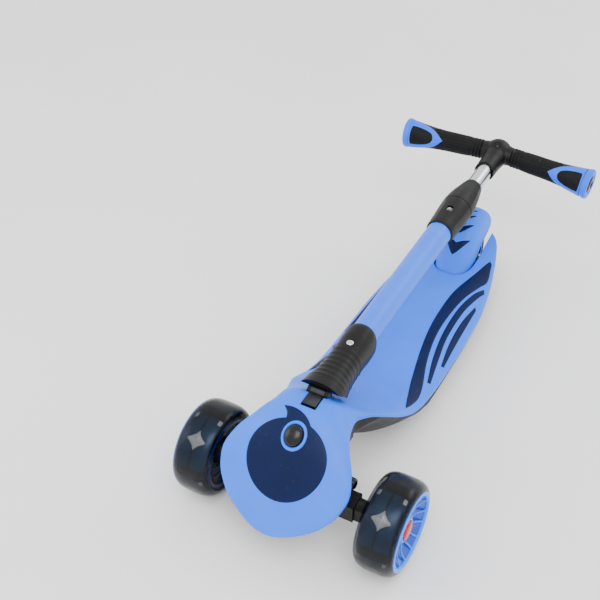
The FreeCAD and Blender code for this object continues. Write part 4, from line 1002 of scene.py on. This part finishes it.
COLLAR_LINE = [(0, 0), (0, 14.0), (1.5, 14.9), (18, 15.2), (30, 15.8), (44, 17.4), (58, 17.0), (58, 0)]
ARM_LINE = [(0, 0), (0, 15.4), (14, 15.0), (19, 14.2), (23.6, 13.8), (23.6, 0)]
hub_parts = [ball("hub_ball", HUB, 20.6),
             lathe("hub_collar", COLLAR_LINE, at(0, 561, STEM_Z), (0, 1, 0), PLAIN, 96)]
for sign in (1, -1):
    hub_parts.append(lathe("hub_arm", ARM_LINE, HUB, bar_axis(sign), PLAIN, 96))
hub = merged("handlebar_hub_skin", hub_parts, 0.7, BLACK, 8)
DIMPLE_OUT = Vector((0, -0.40, 0.917))
TUBE_ROOM = [(-20, 0), (-20, 12.1), (44, 12.1), (44, 0)]
COLLAR_ROOM = [(-40, 0), (-40, 19), (40, 19), (40, 0)]
hub_cuts = [lathe("hub_tube_room", TUBE_ROOM, at(0, 555, STEM_Z), (0, 1, 0), PLAIN, 64),
            ball("hub_dimple", HUB + DIMPLE_OUT * 24.0 * MM, 7.2),
            lathe("collar_hollow", COLLAR_ROOM, at(0, 549, STEM_Z), (0, 0, 1), PLAIN, 96)]
carve(hub, hub_cuts)
finish_piece(hub, "handlebar", ["handlebar_hub"], 55)
dimple_pin = lathe("hub_dimple_pin", [(-3, 0), (-3, 2.6), (0, 2.6), (0.6, 2.0), (0.8, 0)],
                   HUB + DIMPLE_OUT * 16.9 * MM, DIMPLE_OUT, DARK_STEEL, 40)
finish_piece(dimple_pin, "handlebar", (), 50)
INNER_START, INNER_LENGTH = 180, 425
inner_line = [(0, 10.5), (0, 11.6), (0.4, 12.0), (INNER_LENGTH - 0.4, 12.0), (INNER_LENGTH, 11.6),
              (INNER_LENGTH, 10.5)]
inner = lathe("inner_tube_skin", inner_line, at(0, INNER_START, STEM_Z), (0, 1, 0), SILVER, 128)
HEIGHT_HOLE = [(0, 0), (0, 3.4), (30, 3.4), (30, 0)]
carve(inner, [lathe("height_hole", HEIGHT_HOLE, at(0, 231 + 50 * k, STEM_Z), (0, 0, 1), PLAIN, 40)
              for k in range(5)])
finish_piece(inner, "handlebar", ["inner_tube"], 40)


# ------------------------------------------------------------------ front wheels
BARREL = 46.0
GEM_REACH = 12.5
# Rings of a gem's corners: share of its reach and depth below the tread.
GEM_RINGS = ((1.0, 3.856), (0.62, 2.616), (0.28, 2.12), (1.0, 6.5))
# Profiles round the axle, as (distance outside the wheel's outer face, radius).
RIM_RING = [(-4.6, 45.4), (-3.0, 44.6), (-1.2, 44.8), (-0.2, 45.8), (0.3, 47.2), (0.4, 48.6), (0.1, 49.6),
            (-0.7, 50.1), (-1.8, 49.9), (-2.6, 49.0), (-3.2, 47.0)]
HUB_RING = [(-10, 12.4), (-6.8, 12.4), (-6.2, 13.0), (-6.0, 14.2), (-6.4, 15.5), (-7.4, 16.4), (-10, 16.8)]
HUB_CAP = [(-5.9, 0), (-5.9, 11.3), (-8.4, 11.3), (-8.4, 12.2), (-5.4, 12.2), (-4.6, 11.6), (-3.9, 9.8),
           (-3.3, 6.8), (-3.05, 3.4), (-3.0, 0)]


def arc_band(name, centre, axis, profile, start, stop, material, steps=48):
    """Part of a lathe between two angles, closed at both ends. profile is a closed (along, radius) loop."""
    turn = axis_frame(axis)
    rings = [[round_point(centre, turn, along, radius, angle) for along, radius in profile]
             for angle in np.linspace(start, stop, steps)]
    return loft(name, rings, material)


def offset_band(profile, depth):
    """Closed loop between an open profile and its copy nearer the axle."""
    return profile + [(along, radius - depth) for along, radius in reversed(profile)]


def tyre_profile(inset, low, high, steps=22):
    """Tread line across the wheel, from one side to the other, inset below the tyre's own face."""
    half, radius = WHEEL_HALF - inset, WHEEL_R - inset
    points = []
    for along in np.linspace(low, high, steps):
        share = min(abs(along) / half, 1.0)
        points.append((along, 46.5 + (radius - 46.5) * (1 - share ** 3.6) ** (1 / 2.2)))
    return points


def join(name, pieces):
    """One piece out of several meshes of the same material."""
    form = bmesh.new()
    for piece in pieces:
        form.from_mesh(piece.data)
    mesh = bpy.data.meshes.new(name)
    form.to_mesh(mesh)
    form.free()
    mesh.materials.append(pieces[0].data.materials[0])
    for piece in pieces:
        bpy.data.objects.remove(piece)
    whole = bpy.data.objects.new(name, mesh)
    bpy.context.scene.collection.objects.link(whole)
    return whole


def face_profile(profile):
    return [(WHEEL_HALF + outward, radius) for outward, radius in profile]


def gem(centre, turn, middle):
    """Faceted four-sided jewel under the tread."""
    verts = []
    for share, depth in GEM_RINGS:
        radius = WHEEL_R - depth
        for angle in full_turn(4):
            along, around = GEM_REACH * share * math.cos(angle), GEM_REACH * share * math.sin(angle)
            verts.append(round_point(centre, turn, along, radius, middle + around / radius))
    faces = grid_faces(3, 4, close_columns=True) + [(8, 9, 10, 11), (15, 14, 13, 12)]
    faces += [(k, (k + 1) % 4, 12 + (k + 1) % 4, 12 + k) for k in range(4)]
    return new_mesh("gem", verts, faces, GEM_SILVER)


def front_wheel(hand, sign, phase):
    body = "front_wheel_" + hand
    centre = at(sign * TRACK, 0, WHEEL_R)
    axis = Vector((sign, 0, 0))
    turn = axis_frame(axis)
    half = WHEEL_HALF

    # Clear tyre: a hollow band with a full round tread.
    outside = tyre_profile(0.0, -half + 0.05, half - 0.05, 44)
    inside = tyre_profile(1.6, -half + 2.0, half - 2.0, 30)
    inside = [(along, max(radius, 46.7)) for along, radius in inside]
    tyre = lathe("tyre_%s_skin" % hand, outside + list(reversed(inside)), centre, axis, SMOKE, 160)
    finish_piece(tyre, body, ["tyre_" + hand], 70)

    # Opaque inner drum, blue panels with black gaps, centre seam and faceted gems under the tyre.
    drum_line = offset_band(tyre_profile(4.6, -half + 5.2, half - 5.2, 30), 2.0)
    drum = lathe("tyre_drum_" + hand, drum_line, centre, axis, GAP_BLACK, 144)
    finish_piece(drum, body, (), 60)
    panels, gems, corners = [], [], []
    reach = math.radians(37)
    for k in range(4):
        middle = phase + k * math.pi / 2
        for low, high in ((-half + 6.4, -0.9), (0.9, half - 6.4)):
            loop = offset_band(tyre_profile(3.7, low, high, 16), 1.6)
            panels.append(arc_band("panel", centre, axis, loop, middle - reach, middle + reach,
                                   PANEL_STEEL, 40))
        for side_sign in (-1, 1):
            low, high = sorted((side_sign * 14.2, side_sign * 18.4))
            loop = offset_band(tyre_profile(3.1, low, high, 6), 1.2)
            corner = middle - sign * (reach - math.radians(5))
            corners.append(arc_band("corner", centre, axis, loop, corner - math.radians(3.4),
                                    corner + math.radians(3.4), GEM_SILVER, 8))
        gems.append(gem(centre, turn, middle))
    finish_piece(join("tyre_panels_" + hand, panels), body, (), 40)
    finish_piece(join("tyre_corners_" + hand, corners), body, (), 30)
    finish_piece(join("tyre_gems_" + hand, gems), body, ["tyre_lights_" + hand], 12)

    # Barrel, web and hub; the outer dish slopes to the hub and the inner one is deeper.
    core = [(-half + 3.2, BARREL + 0.4), (-half + 2.4, BARREL - 0.4), (-half + 2.4, BARREL - 2.4),
            (-half + 4, BARREL - 3.2), (-half + 10, 40), (-half + 16, 33), (-half + 18, 24), (-half + 17, 18),
            (-half + 9, 16.4), (-half + 6.4, 15.6), (-half + 6, 14.6), (-half + 6, 11.1), (-half + 13, 11.1),
            (-half + 13, 8), (half - 13, 8), (half - 13, 11.1), (half - 8, 11.1), (half - 8, 14.6),
            (half - 9.6, 16), (half - 12.6, 19), (half - 14.2, 26), (half - 13.0, 34), (half - 9.4, 40),
            (half - 5.2, 43.4), (half - 3.6, 45), (half - 3.2, BARREL + 0.4)]
    core_piece = lathe("wheel_core_%s_skin" % hand, core, centre, axis, DISH_BLUE, 144)
    inner_faces = [p for p in core_piece.data.polygons if sign * (p.center.x / MM) < TRACK - 3]
    core_piece.data.materials.append(DARK_DISH)
    for polygon in inner_faces:
        polygon.material_index = 1
    finish_piece(core_piece, body, ["wheel_core_" + hand], 40)

    rim = lathe("rim_ring_%s_skin" % hand, face_profile(RIM_RING), centre, axis, RING_BLUE, 160)
    finish_piece(rim, body, (), 60)
    hub_ring = lathe("hub_ring_%s_skin" % hand, face_profile(HUB_RING), centre, axis, RING_BLUE, 96)
    finish_piece(hub_ring, body, (), 60)

    face_line = smooth([(15, half - 8.4), (22, half - 10.8), (30, half - 10.4), (38, half - 7.0),
                        (45.6, half - 1.6)])
    spokes = []
    for pair in range(8):
        for lean in (-1, 1):
            rings = []
            for share in np.linspace(0, 1, 22):
                radius = 15.4 + (45.9 - 15.4) * share
                spread = math.radians(5.2 + 7.4 * math.sin(math.pi * share * 0.62) ** 1.4)
                angle = pair * math.pi / 4 + lean * spread
                along = face_line(radius)
                width = 1.05 + 0.5 * abs(share - 0.45)
                rings.append([round_point(centre, turn, along + 1.15 * math.sin(t), radius,
                                          angle + width * math.cos(t) / radius) for t in full_turn(12)])
            spokes.append(loft("spoke", rings, RING_BLUE))
    spoke_piece = join("wheel_spokes_%s_skin" % hand, spokes)
    finish_piece(spoke_piece, body, ["wheel_spokes_" + hand], 70)

    cap = lathe("hub_cap_%s_skin" % hand, face_profile(HUB_CAP), centre, axis, RED, 96)
    finish_piece(cap, body, ["hub_cap_" + hand], 60)

    # Inner face: curved light rings over the dark dish, and a stepped nose round the axle.
    rings = []
    for radius, along, width in ((42.6, 3.6 - half, 1.3), (35.0, 13.4 - half, 1.1), (26.5, 17.0 - half, 1.0)):
        loop = [(along + width * 0.8 * math.cos(t), radius + width * math.sin(t)) for t in full_turn(14)]
        rings.append(lathe("inner_ring", loop, centre, axis, INNER_BLUE, 128))
    rib_line = smooth([(18, -half + 16.4), (24, -half + 17.6), (33, -half + 15.6), (40, -half + 9.6),
                       (43, -half + 4)])
    for k in range(6):
        loft_rings = []
        for share in np.linspace(0, 1, 16):
            radius = 19.5 + 22.5 * share
            angle = k * math.pi / 3 + 0.5 * share ** 1.3
            along = rib_line(radius)
            loft_rings.append([round_point(centre, turn, along + 0.9 * math.sin(t), radius,
                                           angle + 1.0 * math.cos(t) / radius) for t in full_turn(10)])
        rings.append(loft("inner_rib", loft_rings, INNER_BLUE))
    finish_piece(join("inner_rings_" + hand, rings), body, (), 70)


front_wheel("left", 1, math.radians(37))
front_wheel("right", -1, math.radians(54))


# ------------------------------------------------------------------ axle arms and the truck's dress
# Steps of an axle arm: x, half depth and half height.
ARM_STEPS = [(20, 14.88, 18.06), (34, 14.26, 16.34), (35.5, 13.33, 14.62), (58, 12.71, 13.33),
             (60, 11.47, 12.04), (75, 10.85, 11.18), (77, 8.99, 9.46), (86, 8.68, 9.03), (88, 7.13, 7.74),
             (93, 7.006, 7.525)]
KNOB_LINE = [(0, 3.1), (0, 5.6), (0.6, 6.6), (2.0, 7.1), (8.4, 7.1), (10.2, 6.3), (11.4, 4.6), (12.0, 2.4),
             (12.1, 0), (8, 0), (8, 3.1)]


def arm_cover(sign, hand):
    """Stepped, rounded arm out to the wheel."""
    rings = [[at(sign * x, s, 61 + z) for s, z in superellipse(half_s, half_z, 3.2, 48)]
             for x, half_s, half_z in ARM_STEPS]
    arm = loft("axle_arm_" + hand, rings, BLACK)
    soften(arm, 0.6, 2, 40)
    finish_piece(arm, "truck", (), 40)


arm_cover(1, "left")
arm_cover(-1, "right")
for sign, hand in ((1, "left"), (-1, "right")):
    knob = lathe("rod_knob_%s_skin" % hand, KNOB_LINE, at(sign * 64, 0, 103), (sign, 0, 0), GLOSS_BLACK, 72)
    finish_piece(knob, "deck", ["rod_knobs"], 50)


# ------------------------------------------------------------------ rear wheel
REAR_CENTRE = at(0, REAR_S, REAR_R)
half = REAR_HALF
tread_line = [(-half + 0.6, 30.2), (-half + 0.1, 32.5), (-half + 0.2, 34.6), (-half + 1.0, 36.8),
              (-half + 2.6, 38.5), (-half + 4.8, 39.6), (-half + 7.4, 40.0)]
grooves = [(-6.4, 40.0), (-6.0, 39.3), (-5.4, 39.3), (-5.0, 40.0), (-0.7, 40.0), (-0.35, 39.4), (0.35, 39.4),
           (0.7, 40.0)]
mirror = [(-along, radius) for along, radius in reversed(tread_line + grooves[:4])]
rear_tyre = lathe("rear_tyre_skin", tread_line + grooves + mirror, REAR_CENTRE, (1, 0, 0), TYRE_BLACK, 144)
finish_piece(rear_tyre, "rear_wheel", ["rear_tyre"], 40)
core_half = [(half - 1.2, 30.3), (half - 0.8, 29.2), (half - 1.4, 27.8), (half - 3.4, 26.6),
             (half - 5.4, 25.0), (half - 5.8, 21.5), (half - 4.6, 17.6), (half - 3.2, 16.4),
             (half - 2.2, 15.2), (half - 2.0, 13.6), (half - 2.2, 11.2), (half - 9, 11.2), (half - 9, 8.0)]
core_mirror = [(-along, radius) for along, radius in reversed(core_half)]
rear_core = lathe("rear_core_skin", core_half + core_mirror, REAR_CENTRE, (1, 0, 0), NAVY, 128)
finish_piece(rear_core, "rear_wheel", ["rear_core"], 40)
bands = []
for side_sign in (-1, 1):
    for radius, along, width in ((27.6, half - 1.2, 1.0), (16.0, half - 2.6, 1.3)):
        loop = [(side_sign * (along + width * 0.7 * math.cos(t)), radius + width * math.sin(t))
                for t in full_turn(14)]
        bands.append(lathe("rear_band", loop, REAR_CENTRE, (1, 0, 0), RING_BLUE, 112))
finish_piece(join("rear_rings", bands), "rear_wheel", (), 70)


# ------------------------------------------------------------------ brake fender
# Ridge and lower edge of the fender, as (s, z) from front to back.
FENDER_TOP = [(446, 62), (456, 78), (470, 98), (486, 114), (504, 124), (520, 126.4), (534, 124), (546, 117),
              (554, 106), (557, 97)]
FENDER_LOW = [(482, 52), (486, 62), (493, 73), (505, 83), (520, 88.4), (534, 90.2), (546, 92.6),
              (556.4, 95.6)]
FENDER_HALF = 28.7
FENDER_ROWS, FENDER_COLUMNS = 90, 49
fender_ridge = path(FENDER_TOP, FENDER_ROWS)
fender_skirt = path(FENDER_LOW, FENDER_ROWS)


def fender_ring(index):
    """Cross-section from one skirt edge over the ridge to the other, as (x, s, z)."""
    t = index / (FENDER_ROWS - 1)
    ridge_s, ridge_z = fender_ridge[index]
    skirt_s, skirt_z = fender_skirt[index]
    width = FENDER_HALF * (0.90 + 0.10 * math.sin(math.pi * min(t * 1.1, 1.0)) ** 0.6)
    if t > 0.86:
        width -= 6.0 * ((t - 0.86) / 0.14) ** 2
    points = []
    for q in np.linspace(-1, 1, FENDER_COLUMNS):
        angle = q * math.pi / 2
        across = signed_power(math.sin(angle), 2 / 3.4)
        lift = abs(math.cos(angle)) ** (2 / 2.6)
        points.append((width * across, skirt_s + (ridge_s - skirt_s) * lift,
                       skirt_z + (ridge_z - skirt_z) * lift))
    return points


skin = [at(*point) for row in range(FENDER_ROWS) for point in fender_ring(row)]
fender = new_mesh("brake_fender_skin", skin, grid_faces(FENDER_ROWS, FENDER_COLUMNS), LIGHT_BLUE)
wall = fender.modifiers.new("wall", "SOLIDIFY")
wall.thickness = 3.2 * MM
wall.offset = -1.0
wall.use_even_offset = True
wall.use_quality_normals = True
soften(fender, 1.0, 3, 60)
finish_piece(fender, "rear_brake", ["brake_fender"], 50)


def fender_point(x, t, height):
    """Point on the fender's skin: x across, t along the ridge from 0 to 1, height above it."""
    index = min(max(t, 0), 1) * (FENDER_ROWS - 1)
    low_i = int(min(index, FENDER_ROWS - 2))
    part = index - low_i
    places = []
    for i in (low_i, low_i + 1):
        xs, along_s, heights = zip(*fender_ring(i))
        places.append(np.array([np.interp(x, xs, along_s), np.interp(x, xs, heights)]))
    s, z = places[0] * (1 - part) + places[1] * part
    along = fender_ridge[low_i + 1] - fender_ridge[max(low_i - 1, 0)]
    normal = np.array([-along[1], along[0]]) / np.linalg.norm(along)
    return at(x, s + normal[0] * height, z + normal[1] * height)


def chevron(name, tip_t, half_width, reach_t, thick_t, material):
    """Raised V that points forward."""
    steps, across = 41, 7
    top, low = [], []
    for i in range(steps):
        q = -1 + 2 * i / (steps - 1)
        row_top, row_low = [], []
        bend = abs(q) ** 1.25
        thick = thick_t * (1 - 0.93 * abs(q) ** 1.5)
        for j in range(across):
            share = j / (across - 1)
            t = tip_t + reach_t * bend + thick * share
            rise = 0.9 * math.sqrt(max(1 - (2 * share - 1) ** 4, 0)) * (1 - abs(q) ** 10)
            row_top.append(fender_point(q * half_width, t, rise + 0.05))
            row_low.append(fender_point(q * half_width, t, -1.0))
        top.append(row_top)
        low.append(row_low)
    return slab(name, top, low, material)


for index, (tip, width, reach, thick) in enumerate(((0.185, 18.5, 0.17, 0.12), (0.40, 16, 0.115, 0.07),
                                                    (0.54, 13.5, 0.085, 0.05), (0.64, 10.5, 0.06, 0.038))):
    mark = chevron("brake_chevron_%d" % index, tip, width, reach, thick, NAVY)
    finish_piece(mark, "rear_brake", ["brake_chevrons"], 50)


# ------------------------------------------------------------------ CAD nodes that show as they are
KEPT = {
    "axle_beam": BLACK, "brake_pin": STEEL, "brake_shoe": DARK_STEEL, "brake_spring": SPRING,
    "fold_button_spring": SPRING, "fold_pin": DARK_STEEL, "frame_bolts": STEEL, "front_axle_left": STEEL,
    "front_axle_right": STEEL, "front_frame": BLACK, "handlebar_tube": STEEL, "lean_pin": STEEL,
    "lean_spring_left": SPRING, "lean_spring_right": SPRING, "rear_axle_bolt": CHROME,
    "rear_axle_nut": CHROME, "rear_bearings": STEEL, "rear_spacers": STEEL, "spring_rod": STEEL,
    "stem_insert": DARK_STEEL, "tube_bush": BLACK, "wheel_bearings_left": STEEL,
    "wheel_bearings_right": STEEL,
}
for name, finish in KEPT.items():
    nodes[name].data.materials.clear()
    nodes[name].data.materials.append(finish)


# ------------------------------------------------------------------ floor, light and camera
floor_mesh = bpy.data.meshes.new("floor")
FLOOR_HALF = 6.0
corners = [(-FLOOR_HALF, -FLOOR_HALF, 0), (FLOOR_HALF, -FLOOR_HALF, 0), (FLOOR_HALF, FLOOR_HALF, 0),
           (-FLOOR_HALF, FLOOR_HALF, 0)]
floor_mesh.from_pydata(corners, [], [(0, 1, 2, 3)])
floor = bpy.data.objects.new("floor", floor_mesh)
bpy.context.scene.collection.objects.link(floor)
floor_finish = Finish("pale_floor", specular=0.2)
cloud = floor_finish.noise(3, detail=3)
floor_finish.colour(floor_finish.ramp(cloud, [(0.3, (247, 247, 248)), (0.7, (252, 252, 252))]))
grain = floor_finish.noise(9, detail=4, seed=1.0)
floor_finish.roughness(floor_finish.remap(grain, 0.3, 0.7, 0.55, 0.75))
floor_mesh.materials.append(floor_finish.done())

world = bpy.data.worlds.new("studio")
bpy.context.scene.world = world
world.use_nodes = True
world.node_tree.nodes["Background"].inputs["Color"].default_value = (1.0, 1.0, 1.0, 1.0)
world.node_tree.nodes["Background"].inputs["Strength"].default_value = 1.5


def soft_light(name, place, target, size_x, size_y, power):
    light = bpy.data.lights.new(name, "AREA")
    light.shape = "RECTANGLE"
    light.size, light.size_y = size_x, size_y
    light.energy = power
    lamp = bpy.data.objects.new(name, light)
    lamp.location = place
    lamp.rotation_euler = (Vector(target) - Vector(place)).to_track_quat("-Z", "Y").to_euler()
    bpy.context.scene.collection.objects.link(lamp)
    return lamp


soft_light("key", (0.5, -1.0, 1.9), (0, 0, 0.1), 1.4, 1.0, 26)
soft_light("fill_left", (-1.8, -0.9, 1.1), (0, 0, 0.1), 1.2, 1.2, 12)
soft_light("rim", (0.9, 1.8, 1.5), (0, 0, 0.1), 1.2, 0.8, 12)


def add_camera():
    azimuth, elevation, distance, lens, roll = 0.5102, 0.7259, 1143.3, 66.4, -0.0087
    target = at(0, 5.4, 352.4)
    back = Vector((math.sin(azimuth) * math.cos(elevation), -math.cos(azimuth) * math.cos(elevation),
                   math.sin(elevation)))
    right = Vector((math.cos(azimuth), math.sin(azimuth), 0))
    up = back.cross(right)
    turned_right = right * math.cos(roll) + up * math.sin(roll)
    turned_up = up * math.cos(roll) - right * math.sin(roll)
    data = bpy.data.cameras.new("photo_view")
    data.lens = lens
    data.sensor_width = 36
    camera = bpy.data.objects.new("photo_view", data)
    frame_matrix = Matrix((turned_right, turned_up, back)).transposed().to_4x4()
    camera.matrix_world = Matrix.Translation(target + back * distance * MM) @ frame_matrix
    bpy.context.scene.collection.objects.link(camera)
    bpy.context.scene.camera = camera


add_camera()
